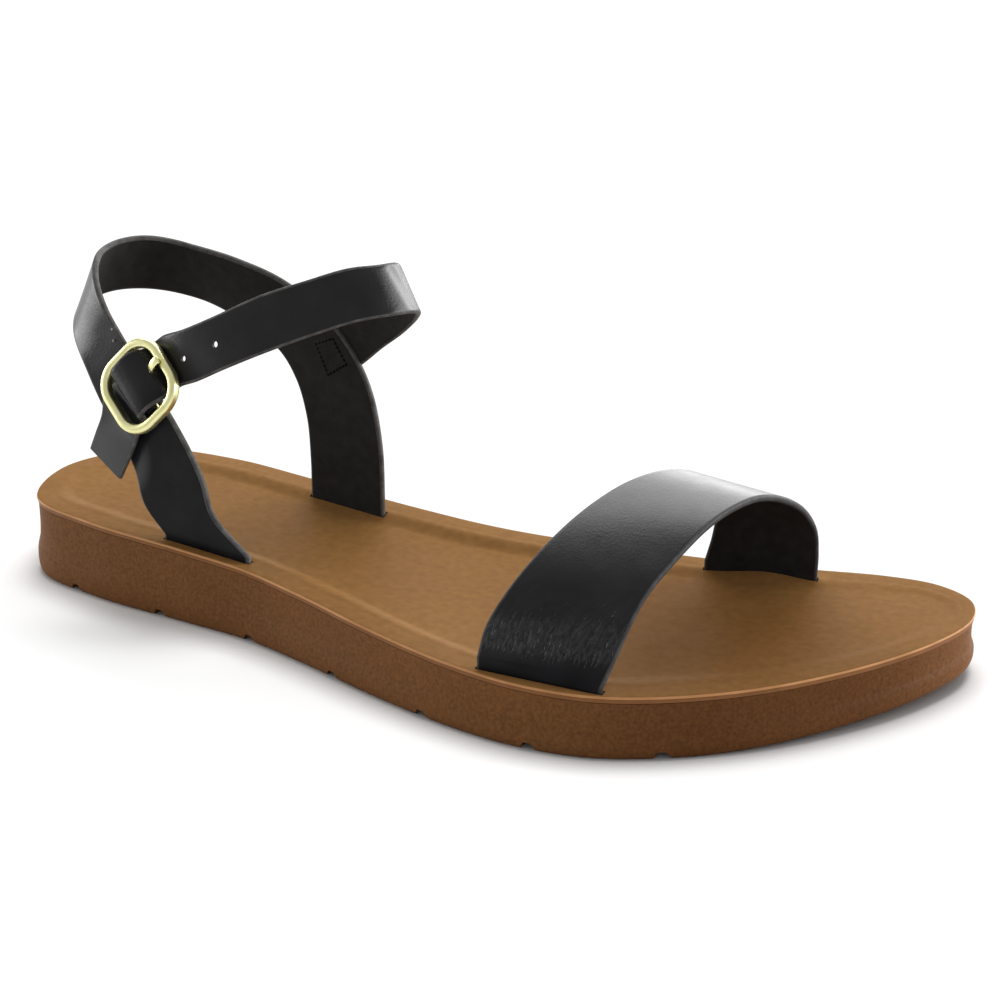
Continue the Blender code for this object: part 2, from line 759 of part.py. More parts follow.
def strap_feet():
    """The four strap feet: their slot's name, its two ends and the strap's wall."""
    feet = []
    for name, rows, wall in (("heel_strap", heel_strap_rows(), HEEL_STRAP_WALL),
                             ("toe_band", toe_band_rows(), TOE_BAND_WALL)):
        for side, row, inwards in (("outer", rows[0], 1.0), ("inner", rows[-1], -1.0)):
            low = Vector(row[:3])
            high = Vector(row[3:])
            run = (high - low).normalized()
            step = Vector((-run.y, run.x, 0.0)) * inwards * wall / 2.0
            feet.append((f"{name}_{side}", low + step, high + step, wall))
    return feet


def main():
    clear_scene()
    parts = new_collection("ankle_strap_sandal")
    cutters = new_collection("cutters")
    brown = finish("sole_brown", 0.62)
    tan = finish("footbed_tan", 0.7)
    black = finish("strap_black", 0.4)
    gold = finish("buckle_gold", 0.22, metallic=1.0)
    outline = sole_outline()
    make_sole(outline, parts, cutters, brown)
    make_footbed(outline, parts, cutters, tan, strap_feet())
    make_toe_band(parts, black)
    make_ankle_upper(parts, cutters, black)
    make_buckle_frame(parts, cutters, gold)
    make_buckle_prong(parts, gold)
    make_buckle_tab(parts, cutters, black)


main()
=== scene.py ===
"""Looks of the ankle strap sandal: leather straps, footbed, moulded sole and buckle.

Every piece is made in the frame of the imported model: the toe along +X, the inner
side +Y, the floor z = 0. Tables are in millimetres and the meshes in metres.
"""

import math

import bmesh
import bpy
import numpy as np
from mathutils import Matrix, Vector


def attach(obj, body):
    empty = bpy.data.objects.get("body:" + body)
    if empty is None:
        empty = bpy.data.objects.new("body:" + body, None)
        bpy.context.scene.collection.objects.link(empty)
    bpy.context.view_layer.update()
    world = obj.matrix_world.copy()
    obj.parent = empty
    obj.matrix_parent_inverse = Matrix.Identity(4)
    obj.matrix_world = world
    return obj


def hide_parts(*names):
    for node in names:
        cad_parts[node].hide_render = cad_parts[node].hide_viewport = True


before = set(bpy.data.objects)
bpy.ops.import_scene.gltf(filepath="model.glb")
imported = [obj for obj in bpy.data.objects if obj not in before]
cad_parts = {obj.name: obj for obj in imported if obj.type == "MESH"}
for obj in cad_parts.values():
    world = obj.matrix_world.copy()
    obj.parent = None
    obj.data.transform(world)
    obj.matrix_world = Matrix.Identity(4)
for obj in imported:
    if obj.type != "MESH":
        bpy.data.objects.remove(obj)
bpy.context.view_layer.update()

MM = 0.001
GAP = 0.3

# Sole and footbed
FOOTBED_THICKNESS = 1.6
RIM_WIDTH = 7.0
DISH_SLOPE = 6.0
DISH_DEPTH = 1.5
SOLE_LENGTH = 262.0
TOE_SPRING_START = 84.0
TOE_SPRING_RISE = 3.4
TOE_SPRING_POWER = 1.3
OUTLINE_STEPS = 24
OUTLINE_STATIONS = 150
SIDE_STEPS = 5
SOLE_SHARP = 32.0
FOOTBED_SHARP = 50.0

# Outline of the footbed (x, y) from the back of the heel along the outer side to
# the toe and back along the inner side
OUTLINE = (
    (-130.4, 8.6),
    (-122.0, -13.0),
    (-98.0, -21.5),
    (-66.0, -25.3),
    (-46.0, -27.6),
    (-26.0, -33.2),
    (0.0, -42.0),
    (26.0, -48.8),
    (45.0, -50.7),
    (64.5, -47.4),
    (90.3, -31.8),
    (110.4, -10.6),
    (124.8, 12.9),
    (130.1, 31.0),
    (126.9, 43.0),
    (116.6, 49.7),
    (103.0, 50.4),
    (77.0, 45.2),
    (38.7, 38.4),
    (0.0, 33.0),
    (-26.0, 33.4),
    (-65.0, 37.0),
    (-90.0, 39.3),
    (-112.5, 36.6),
    (-126.3, 24.0),
)

# Height of the footbed's edge (x, height) and share of its dish depth (x, share)
EDGE_HEIGHT = (
    (-131.0, 22.7),
    (-78.0, 21.9),
    (-26.0, 19.6),
    (26.0, 17.3),
    (77.0, 16.4),
    (131.0, 17.2),
)
DISH_SHARE = (
    (-131.0, 0.25),
    (-90.0, 0.8),
    (-40.0, 1.0),
    (30.0, 1.0),
    (75.0, 0.35),
    (131.0, 0.2),
)

# Side of the sole from the floor up (inset, share of the height)
SIDE_FOOT = (
    (1.3, 0.0),
    (0.55, 0.03),
    (0.1, 0.08),
)
SIDE_BULGE = (-0.3, 0.2)
SIDE_WAIST = (
    (-0.3, 0.31),
    (0.05, 0.42),
    (0.5, 0.54),
    (0.6, 0.74),
    (0.45, 1.0),
)
SIDE_WALL = (*SIDE_FOOT, SIDE_BULGE, *SIDE_WAIST)

# Spread of the side at the floor (x, spread) and share of the rim's width kept
# towards the round ends (x, share)
HEEL_FLARE = (
    (-131.0, 0.8),
    (-105.0, 0.3),
    (-70.0, 0.0),
    (-40.0, 0.0),
    (131.0, 0.0),
)
NARROWING = (
    (-131.0, 0.8),
    (-100.0, 1.0),
    (90.0, 1.0),
    (131.0, 0.55),
)

# Tread grooves across the sole
GROOVE_FIRST_X = -105.0
GROOVE_PITCH = 30.4
GROOVE_COUNT = 7
GROOVE_MOUTH = 4.4
GROOVE_FLOOR = 2.0
GROOVE_DEPTH = 2.2
GROOVE_BELOW = 0.02

# Toe band: upright planes of its two edges, and their arches (rear across, rear
# height, rear lean, front across, front height)
TOE_BAND_WALL = 1.8
TOE_BAND_REAR = ((32.0, -47.6), (58.1, 35.6))
TOE_BAND_FRONT = ((64.3, -45.3), (87.4, 40.2))
TOE_BAND_ARCH = (
    (0.0, 20.0, 0.3, -1.2, 17.8),
    (2.3, 28.0, 1.3, 5.6, 25.6),
    (7.7, 34.2, 2.0, 10.6, 31.6),
    (15.0, 39.1, 2.0, 16.5, 36.8),
    (25.6, 43.6, 1.2, 26.0, 41.6),
    (40.2, 47.7, 0.4, 40.5, 46.9),
    (54.2, 49.8, 0.3, 52.5, 48.3),
    (66.5, 49.5, 0.9, 63.0, 47.3),
    (75.7, 47.4, 2.5, 73.7, 43.4),
    (82.0, 43.0, 4.1, 82.2, 38.0),
    (85.6, 35.5, 4.3, 87.6, 31.2),
    (86.9, 27.0, 2.5, 89.0, 24.0),
    (86.9, 19.0, 0.3, 89.0, 18.5),
)

# The last at the heel, and the heel strap on it (lower along, lower height,
# upper along, upper height), from the outer slot round the back to the inner slot
HEEL_CENTRE = (-90.0, 6.0)
HEEL_RADIUS = 25.5
HEEL_CLOSING = 9.5
HEEL_CLOSING_POWER = 5.0
HEEL_FOOT_Z = 21.0
HEEL_TOP_Z = 92.0
HEEL_SKEW = -0.10
HEEL_STRAP_WALL = 1.8
HEEL_STRAP = (
    (56.4, 23.0, 84.3, 22.0),
    (49.5, 30.5, 73.4, 31.0),
    (47.0, 40.0, 69.8, 41.5),
    (37.6, 55.0, 60.6, 56.0),
    (29.5, 65.5, 47.6, 70.6),
    (19.5, 71.5, 32.5, 84.4),
    (9.0, 75.2, 18.5, 90.8),
    (0.0, 77.0, 4.5, 92.7),
    (-9.0, 77.4, -9.0, 93.4),
    (-20.0, 76.6, -22.0, 93.0),
    (-33.0, 74.4, -38.0, 90.8),
    (-46.5, 71.2, -55.0, 88.2),
    (-62.5, 63.6, -71.5, 82.4),
    (-69.5, 54.5, -86.0, 70.2),
    (-72.7, 43.5, -94.0, 56.5),
    (-73.5, 32.0, -97.5, 40.0),
    (-73.5, 22.5, -98.0, 22.0),
)

# Buckle frame and its own axes: along the strap, along the bars, out of the frame
BUCKLE_CENTRE = (-75.97, -24.15, 64.74)
BUCKLE_RUN = (0.661, 0.225, 0.715)
BUCKLE_BAR = (-0.742, 0.333, 0.582)
FRAME_LENGTH = 21.6
FRAME_WIDTH = 23.0
FRAME_CORNER = 8.0
FRAME_ROD = 1.3
FRAME_DEEPEN = 1.15
FRAME_LIFT = 0.45
BAR_ROD = 0.7
BAR_DROP = 1.0
BAR_BEND = 0.7
BAR_END_SHARE = 0.3
PRONG_ROD = 0.55
PRONG_WIDEN = 2.0
PRONG_GAP = 0.25
PRONG_ASIDE = 0.4
HOOK_START = 270.0
HOOK_TURN = 250.0
HOOK_STEPS = 18
PRONG_TIP = 0.35
PRONG_TAPER_STEPS = 5.0
TAB_WALL = 0.9
TAB_WIDTH = 11.5
TAB_SLOT = 4.2
TAB_TURN = 88.0
TAB_TURN_STEPS = 24
TAB_UNDER = 3.7
TAB_OVER = 0.2
TAB_STEP = 0.5
TAB_STEPS = 7
BUCKLE_SHARP = 60.0

# Sections of the buckle's rods, loop and prong hole: 2 is an ellipse, more is squarer
FRAME_SQUARE = 2.7
BAR_SQUARE = 2.0
PRONG_SQUARE = 3.0
TAB_SQUARE = 6.0
HOLE_SQUARE = 2.4

# Slit in the loop for the prong (back and front along the run, low and high)
TAB_SLIT = ((-2.5, 5.5), (-5.0, 3.0))

# Ankle strap: its sewn end on the heel's last, its loop round the ankle (lower
# point, upper point), its way through the buckle and its free tail
ANKLE_WALL = 1.5
SEWN_LIFT = 0.35
SEWN_END = (
    (-81.6, 56.0, -74.6, 69.0),
    (-89.0, 60.0, -82.0, 73.0),
)
ANKLE_LOOP = (
    (-31.0, 23.6, 68.0, -37.5, 21.8, 80.8),
    (-22.3, 19.0, 74.4, -28.0, 17.2, 87.4),
    (-14.5, 12.6, 81.0, -20.0, 11.5, 93.8),
    (-10.2, 4.2, 85.3, -16.4, 4.5, 97.6),
    (-12.2, -5.0, 86.7, -17.4, -3.4, 98.8),
    (-19.0, -11.2, 85.8, -22.5, -9.2, 98.7),
    (-28.0, -16.2, 82.6, -31.2, -13.8, 95.8),
    (-39.0, -20.2, 78.0, -43.0, -17.6, 91.3),
    (-51.2, -22.0, 72.2, -57.1, -19.0, 84.1),
    (-60.1, -21.8, 67.6, -66.0, -18.5, 79.8),
)
THREADING = (
    (10.2, 0.15, -2.4, 17.0, 14.9),
    (8.2, 0.25, -2.5, 12.0, 15.5),
    (6.6, -0.1, -1.9, 8.0, 16.0),
    (5.4, -0.05, -0.2, 4.0, 15.4),
    (4.0, -0.05, 1.3, 4.0, 16.3),
    (2.0, 0.3, 2.1, 4.0, 16.6),
    (-1.0, 0.4, 2.4, 3.0, 16.4),
    (-3.7, 0.4, 1.8, 0.0, 16.0),
    (-5.2, 0.4, -1.2, -3.0, 14.8),
    (-6.9, 0.35, -2.6, -6.0, 15.7),
    (-9.9, 0.3, -2.8, -9.0, 16.0),
)
ANKLE_TAIL = (
    (-79.3, -23.1, 48.2, -91.2, -20.9, 53.9),
    (-82.0, -22.7, 43.2, -93.3, -20.9, 49.3),
)
TAIL_STEPS = 6
ANKLE_TAIL_END = (-85.4, -22.3, 37.2, -95.8, -20.7, 44.0)
HOLE_RADIUS = 0.82
HOLE_SPOTS = ((-54.7, -20.2, 77.8), (-64.9, -19.7, 72.5))
PUNCH_WAY = (0.41, -0.84, 0.36)
PUNCH_LEAN = 1.2
PUNCH_LENGTH = 8.0

# The prong's hole, and the prong below and above it (along the run, out of the frame)
PRONG_HOLE_RUN = 5.1
PRONG_HOLE_HALF = (1.2, 0.65)
PRONG_BELOW = (PRONG_HOLE_RUN - 0.7, -0.9)
PRONG_ABOVE = (PRONG_HOLE_RUN + 0.9, 1.6)

# Rounding of a strap's cut edges as a share of its wall, and the strap's mesh:
# steps between the rows above and faces across
EDGE_ROUNDING = 0.42
TOE_BAND_MESH = (14, 54)
HEEL_STRAP_MESH = (14, 30)
ANKLE_MESH = (12, 24)
STRAP_SHARP = 55.0

# Creases listed one by one: start and end on the strap (along, across), depth, half width.
# Each has a ridge beside it and fades out near the strap's edges.
RIDGE_SHARE = 0.45
RIDGE_PLACE = 1.8
CREASE_MARGIN = 1.5
TOE_BAND_CREASES = (
    (9.0, 4.0, 17.0, 6.5, 0.16, 0.7),
    (11.0, 9.5, 20.0, 11.0, 0.14, 0.8),
    (8.0, 14.5, 15.0, 15.5, 0.15, 0.7),
    (13.0, 18.5, 21.0, 20.5, 0.13, 0.8),
    (8.5, 22.5, 16.5, 24.5, 0.15, 0.7),
    (11.5, 27.0, 18.5, 29.5, 0.14, 0.7),
    (19.0, 3.0, 25.0, 5.0, 0.10, 0.9),
    (20.0, 25.0, 27.0, 27.5, 0.10, 0.9),
)
ANKLE_CREASES = (
    (47.0, 1.5, 45.0, 12.5, 0.16, 1.6),
    (52.0, 2.0, 53.5, 13.0, 0.18, 1.5),
    (57.0, 1.5, 60.5, 12.0, 0.14, 1.5),
    (66.0, 2.0, 68.0, 11.5, 0.10, 2.0),
)
HEEL_CREASES = (
    (58.0, 2.0, 66.0, 14.0, 0.07, 2.6),
    (124.0, 2.0, 118.0, 14.0, 0.07, 2.6),
)

# Stitches on the heel's last (along, height): the box round the ankle strap's sewn
# end and the tack that holds the buckle's loop, with pitch, length and thread radius
SEWN_BOX = ((-77.8, 66.2), (-83.5, 68.7), (-87.3, 61.7), (-81.0, 57.6), (-77.8, 66.2))
SEWN_BOX_STEPS = 12
SEWN_BOX_DEPTH = HEEL_STRAP_WALL + 0.05
SEWN_BOX_STITCH = (1.25, 1.15, 0.36)
LOOP_TACK = ((40.7, 76.4), (41.05, 75.0), (41.4, 73.6))
LOOP_TACK_DEPTH = -0.04
LOOP_TACK_STITCH = (2.0, 0.7, 0.24)


def eased(t, span, start, start_slope, end, end_slope):
    """A smooth step from one value to the next, with the slopes given at both."""
    return (
        (2 * t**3 - 3 * t**2 + 1) * start
        + (t**3 - 2 * t**2 + t) * span * start_slope
        + (-2 * t**3 + 3 * t**2) * end
        + (t**3 - t**2) * span * end_slope
    )


def along_table(table, x):
    """Smooth values at places x from a table of (place, value) rows."""
    knots, values = np.transpose(table)
    slopes = np.gradient(values, knots)
    spot = np.clip(np.asarray(x, dtype=float), knots[0], knots[-1])
    i = np.clip(np.searchsorted(knots, spot, side="right") - 1, 0, len(knots) - 2)
    span = knots[i + 1] - knots[i]
    t = (spot - knots[i]) / span
    return eased(t, span, values[i], slopes[i], values[i + 1], slopes[i + 1])


def smooth_rows(rows, steps, closed=False):
    """Rows of numbers joined by a smooth curve, with the steps given between rows."""
    points = np.array(rows, dtype=float)
    if closed:
        points = np.vstack([points[-1:], points, points[:2]])
    gaps = np.sqrt(np.linalg.norm(np.diff(points, axis=0), axis=1))
    knots = np.concatenate([[0.0], np.cumsum(gaps)])
    slopes = np.gradient(points, knots, axis=0)
    first, last = (1, len(points) - 2) if closed else (0, len(points) - 1)
    curve = []
    for i in range(first, last):
        span = knots[i + 1] - knots[i]
        for step in range(steps):
            curve.append(eased(step / steps, span, points[i], slopes[i], points[i + 1], slopes[i + 1]))
    if not closed:
        curve.append(points[-1])
    return np.array(curve)


def unit(vectors):
    return vectors / np.linalg.norm(vectors, axis=-1, keepdims=True)


# Meshes

# Faces of a box, from four corners below and the same four above
BOX_FACES = ((3, 2, 1, 0), (4, 5, 6, 7), *((i, (i + 1) % 4, (i + 1) % 4 + 4, i + 4) for i in range(4)))


def link(obj):
    bpy.context.scene.collection.objects.link(obj)
    return obj


def piece_from(name, points, faces, materials, kinds=None, angle=40.0):
    """A piece from points in millimetres, faces and their material numbers."""
    mesh = bpy.data.meshes.new(name)
    mesh.from_pydata([tuple(p) for p in np.asarray(points) * MM], [], faces)
    for material in materials:
        mesh.materials.append(material)
    if kinds is not None:
        mesh.polygons.foreach_set("material_index", np.array(kinds, dtype=np.int32))
    mesh.validate()
    return smoothed(link(bpy.data.objects.new(name, mesh)), angle)


def smoothed(piece, angle):
    """Soft shading, sharp only where faces meet at more than the angle."""
    piece.data.shade_smooth()
    piece.data.set_sharp_from_angle(angle=math.radians(angle))
    return piece


def ring_faces(rings, count, closed=False):
    """Faces between each ring of points and the next."""
    faces = []
    for k in range(rings if closed else rings - 1):
        n = (k + 1) % rings
        for i in range(count):
            j = (i + 1) % count
            faces.append((k * count + i, k * count + j, n * count + j, n * count + i))
    return faces


def baked(obj):
    """The piece's modifiers turned into plain mesh."""
    graph = bpy.context.evaluated_depsgraph_get()
    mesh = bpy.data.meshes.new_from_object(obj.evaluated_get(graph))
    old = obj.data
    obj.modifiers.clear()
    if obj.type == "MESH":
        obj.data = mesh
        return obj
    name = obj.name
    bpy.data.objects.remove(obj, do_unlink=True)
    if isinstance(old, bpy.types.Curve):
        bpy.data.curves.remove(old)
    mesh.name = name
    return link(bpy.data.objects.new(name, mesh))


def cut(piece, cutter):
    """Takes the cutter's shape out of the piece and removes the cutter."""
    modifier = piece.modifiers.new("Cut", "BOOLEAN")
    modifier.operation = "DIFFERENCE"
    modifier.solver = "EXACT"
    modifier.object = cutter
    baked(piece)
    bpy.data.objects.remove(cutter, do_unlink=True)


def dress(piece, slot_name, *nodes):
    """Lets a piece ride with the sandal and stand for its solids."""
    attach(piece, "root")
    if nodes:
        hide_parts(*nodes)


# Geometry Nodes trees

def new_tree(name, inputs):
    """A tree with its named inputs (name, kind, usual value), and the sockets they come from."""
    tree = bpy.data.node_groups.new(name, "GeometryNodeTree")
    for way in ("INPUT", "OUTPUT"):
        tree.interface.new_socket("Geometry", in_out=way, socket_type="NodeSocketGeometry")
    for label, kind, value in inputs:
        socket = tree.interface.new_socket(label, in_out="INPUT", socket_type=f"NodeSocket{kind}")
        socket.default_value = value
    tree.interface.new_socket("Material", in_out="INPUT", socket_type="NodeSocketMaterial")
    return tree, add(tree, "NodeGroupInput").outputs


def feed(tree, socket, value):
    """Gives a socket its value, or links another socket to it."""
    if isinstance(value, bpy.types.NodeSocket):
        tree.links.new(value, socket)
    else:
        socket.default_value = value


def add(tree, kind, inputs=None, **settings):
    """A node with its settings, and its inputs given as values or other sockets."""
    node = tree.nodes.new(kind)
    for key, value in settings.items():
        setattr(node, key, value)
    for key, value in (inputs or {}).items():
        feed(tree, node.inputs[key], value)
    return node


def end_tree(tree, instances, material_socket):
    realized = add(tree, "GeometryNodeRealizeInstances", {"Geometry": instances.outputs["Instances"]})
    finished = add(tree, "GeometryNodeSetMaterial",
                   {"Geometry": realized.outputs["Geometry"], "Material": material_socket})
    add(tree, "NodeGroupOutput", {"Geometry": finished.outputs["Geometry"]})
    return tree


def tread_bar_tree():
    """Repeats a bar along the sole: count, first place and pitch."""
    tree, start = new_tree("tread_bars", (
        ("Count", "Int", 7),
        ("First", "Vector", (0.0, 0.0, 0.0)),
        ("Pitch", "Vector", (0.03, 0.0, 0.0)),
    ))
    line = add(tree, "GeometryNodeMeshLine", {
        "Count": start["Count"],
        "Start Location": start["First"],
        "Offset": start["Pitch"],
    }, mode="OFFSET")
    bars = add(tree, "GeometryNodeInstanceOnPoints", {
        "Points": line.outputs["Mesh"],
        "Instance": start["Geometry"],
    })
    return end_tree(tree, bars, start["Material"])


def hole_punch_tree():
    """Sets a round punch on each point, along the point's facing."""
    tree, start = new_tree("hole_punches", (
        ("Radius", "Float", 0.00125),
        ("Length", "Float", 0.008),
    ))
    punch = add(tree, "GeometryNodeMeshCylinder", {
        "Vertices": 32,
        "Radius": start["Radius"],
        "Depth": start["Length"],
    })
    facing = add(tree, "GeometryNodeInputNamedAttribute", {"Name": "facing"}, data_type="FLOAT_VECTOR")
    turn = add(tree, "FunctionNodeAlignRotationToVector", {"Vector": facing.outputs["Attribute"]}, axis="Z")
    punches = add(tree, "GeometryNodeInstanceOnPoints", {
        "Points": start["Geometry"],
        "Instance": punch.outputs["Mesh"],
        "Rotation": turn.outputs["Rotation"],
    })
    return end_tree(tree, punches, start["Material"])


def stitch_tree():
    """Lays thread stitches along a curve: pitch, stitch length and thread radius."""
    tree, start = new_tree("stitch_row", (
        ("Pitch", "Float", 0.0016),
        ("Stitch length", "Float", 0.0012),
        ("Thread radius", "Float", 0.00022),
    ))
    spots = add(tree, "GeometryNodeCurveToPoints", {
        "Curve": start["Geometry"],
        "Length": start["Pitch"],
    }, mode="LENGTH")
    thread = add(tree, "GeometryNodeMeshUVSphere", {"Segments": 10, "Rings": 8, "Radius": 1.0})
    turn = add(tree, "FunctionNodeAlignRotationToVector", {"Vector": spots.outputs["Tangent"]}, axis="Z")
    size = add(tree, "ShaderNodeCombineXYZ", {
        "X": start["Thread radius"],
        "Y": start["Thread radius"],
        "Z": combined(tree, start["Stitch length"], 0.5, "MULTIPLY"),
    })
    stitches = add(tree, "GeometryNodeInstanceOnPoints", {
        "Points": spots.outputs["Points"],
        "Instance": thread.outputs["Mesh"],
        "Rotation": turn.outputs["Rotation"],
        "Scale": size.outputs["Vector"],
    })
    return end_tree(tree, stitches, start["Material"])


def run_tree(obj, tree, **values):
    """Runs a tree on an object and turns the result into plain mesh."""
    modifier = obj.modifiers.new(tree.name, "NODES")
    modifier.node_group = tree
    names = {item.name.replace(" ", "_").lower(): item.identifier
             for item in tree.interface.items_tree if item.in_out == "INPUT"}
    for key, value in values.items():
        modifier[names[key]] = value
    return baked(obj)


# Materials

def new_material(name):
    """A material with its tree, its shader and the place on the sandal."""
    material = bpy.data.materials.new(name)
    material.use_nodes = True
    tree = material.node_tree
    place = add(tree, "ShaderNodeTexCoord").outputs["Object"]
    return material, tree, tree.nodes["Principled BSDF"], place


def set_shader(tree, shader, **values):
    """Sets the shader's inputs to values or to other nodes' sockets."""
    for key, value in values.items():
        feed(tree, shader.inputs[key.replace("_", " ").title().replace("Ior", "IOR")], value)


def noise(tree, vector, scale, detail, distortion=0.0):
    node = add(tree, "ShaderNodeTexNoise",
               {"Vector": vector, "Scale": scale, "Detail": detail, "Distortion": distortion})
    return node.outputs["Fac"]


def mottled(tree, vector, scale, detail, low, high, dark, light):
    """A soft two-tone colour from noise."""
    ramp = add(tree, "ShaderNodeValToRGB", {"Fac": noise(tree, vector, scale, detail)})
    ramp.color_ramp.elements[0].position = low
    ramp.color_ramp.elements[1].position = high
    ramp.color_ramp.elements[0].color = (*dark, 1.0)
    ramp.color_ramp.elements[1].color = (*light, 1.0)
    return ramp.outputs["Color"]


def between(tree, value, low, high, change="LINEAR"):
    """0 where the value is low and 1 where it is high."""
    inputs = {"Value": value, "From Min": low, "From Max": high}
    return add(tree, "ShaderNodeMapRange", inputs, interpolation_type=change).outputs["Result"]


def spread(tree, value, low, high):
    """Values from low to high, as another value goes from 0 to 1."""
    return add(tree, "ShaderNodeMapRange", {"Value": value, "To Min": low, "To Max": high}).outputs["Result"]


def bumped(tree, height, distance, strength, under=None):
    inputs = {"Height": height, "Distance": distance, "Strength": strength}
    if under is not None:
        inputs["Normal"] = under
    return add(tree, "ShaderNodeBump", inputs).outputs["Normal"]


def mixed(tree, share, one, other, blend="MIX"):
    inputs = {"Factor": share, "A": one, "B": other}
    return add(tree, "ShaderNodeMix", inputs, data_type="RGBA", blend_type=blend).outputs["Result"]


def multiplied(tree, one, other):
    return mixed(tree, 1.0, one, other, "MULTIPLY")


def combined(tree, one, other, operation):
    return add(tree, "ShaderNodeMath", {0: one, 1: other}, operation=operation).outputs["Value"]


def away_from(tree, place, centre, scale, near, far):
    """0 near a spot and 1 away from it, with a soft change between."""
    location = [-c * s for c, s in zip(centre, scale)]
    moved = add(tree, "ShaderNodeMapping", {"Vector": place, "Location": location, "Scale": scale})
    away = add(tree, "ShaderNodeVectorMath", {0: moved.outputs["Vector"]}, operation="LENGTH")
    return between(tree, away.outputs["Value"], near, far, "SMOOTHSTEP")


# Spots on the straps, in metres: the heel strap's outer foot, where the gloss is lowered as painted shade,
# and the ankle strap's tail
QUARTER_FOOT = (-0.057, 0.0, 0.036)
TAIL_MIDDLE = (-0.0885, 0.0, 0.0425)
STRAP_GLOSS = 0.24
WHITE = (1.0, 1.0, 1.0)


def smooth_leather(name):
    """Smooth black leather with a fine grain, and what its finish is made of."""
    material, tree, shader, place = new_material(name)
    colour = mottled(tree, place, 90.0, 3.0, 0.35, 0.7, (0.0062, 0.0059, 0.0068), (0.0112, 0.0106, 0.0122))
    pores = add(tree, "ShaderNodeTexVoronoi", {"Vector": place, "Scale": 1300.0})
    normal = bumped(tree, pores.outputs["Distance"], 0.00006, 0.30)
    normal = bumped(tree, noise(tree, place, 160.0, 3.0), 0.0005, 0.08, normal)
    patches = noise(tree, place, 220.0, 2.0)
    set_shader(tree, shader, base_color=colour, normal=normal, roughness=spread(tree, patches, 0.25, 0.37))
    return material, tree, shader, place, colour, normal


def strap_leather():
    """Leather of the heel and ankle straps, duller at the foot as painted shade, and brighter on the tail."""
    material, tree, shader, place, _, _ = smooth_leather("strap_leather")
    # Gloss lowered round the heel strap's outer foot as painted shade.
    foot = away_from(tree, place, QUARTER_FOOT, (30.0, 0.0, 30.0), 0.7, 1.1)
    tail = away_from(tree, place, TAIL_MIDDLE, (60.0, 0.0, 60.0), 0.45, 0.78)
    gloss = combined(tree, spread(tree, foot, 0.08, STRAP_GLOSS), spread(tree, tail, 0.40, 0.0), "ADD")
    set_shader(tree, shader, specular_ior_level=gloss)
    return material


def toe_band_leather():
    """Leather of the toe band, finely creased above its feet, with painted highlights on the crease crests,
    and gloss lowered at its feet as painted shade.
    """
    material, tree, shader, place, colour, normal = smooth_leather("toe_band_leather")
    path = add(tree, "ShaderNodeUVMap").outputs["UV"]
    stretched = add(tree, "ShaderNodeMapping", {"Vector": path, "Scale": (420.0, 1250.0, 1.0)})
    lines = noise(tree, stretched.outputs["Vector"], 1.0, 2.5, 0.7)
    height = add(tree, "ShaderNodeSeparateXYZ", {"Vector": place}).outputs["Z"]
    zone = add(tree, "ShaderNodeValToRGB", {"Fac": between(tree, height, 0.020, 0.040)})
    for spot in (0.15, 0.46):
        zone.color_ramp.elements.new(spot).color = (*WHITE, 1.0)
    zone.color_ramp.elements[0].position = 0.02
    zone.color_ramp.elements[3].position = 0.76
    zone.color_ramp.elements[3].color = (0.0, 0.0, 0.0, 1.0)
    creases = combined(tree, lines, zone.outputs["Color"], "MULTIPLY")
    # Painted highlights: the crease crests are coloured lighter.
    crest_highlights = between(tree, creases, 0.40, 0.80)
    # Gloss lowered near the band's feet as painted shade.
    foot = between(tree, height, 0.0185, 0.026)
    set_shader(tree, shader,
               base_color=mixed(tree, crest_highlights, colour, (0.035, 0.035, 0.038, 1.0)),
               normal=bumped(tree, creases, 0.0018, 0.6, normal),
               specular_ior_level=spread(tree, foot, 0.05, STRAP_GLOSS))
    return material


def dry_finish(name, mottling, dark, light, grain, roughness, level):
    """Mottled colour (scale, detail, low, high) and a fine grain (scale, detail, depth, strength)."""
    material, tree, shader, place = new_material(name)
    colour = mottled(tree, place, *mottling, dark, light)
    scale, detail, depth, strength = grain
    normal = bumped(tree, noise(tree, place, scale, detail), depth, strength)
    set_shader(tree, shader, base_color=colour, normal=normal, roughness=roughness, specular_ior_level=level)
    return material


def strap_lining():
    """Dull black lining on the inner face of the straps."""
    return dry_finish("strap_lining", (300.0, 4.0, 0.3, 0.75), (0.0120, 0.0117, 0.0112),
                      (0.0205, 0.0200, 0.0190), (2400.0, 2.0, 0.00008, 0.4), 0.72, 0.12)


def strap_edge(name, dark, light):
    """Cut edge of the leather, greyer and dry."""
    return dry_finish(name, (420.0, 4.0, 0.3, 0.7), dark, light, (1500.0, 3.0, 0.0001, 0.5), 0.6, 0.25)


def footbed_edge(name, dark, light, level):
    """A strip of the footbed's burnished edge."""
    return dry_finish(name, (130.0, 4.0, 0.3, 0.7), dark, light, (900.0, 2.0, 0.00008, 0.3), 0.5, level)


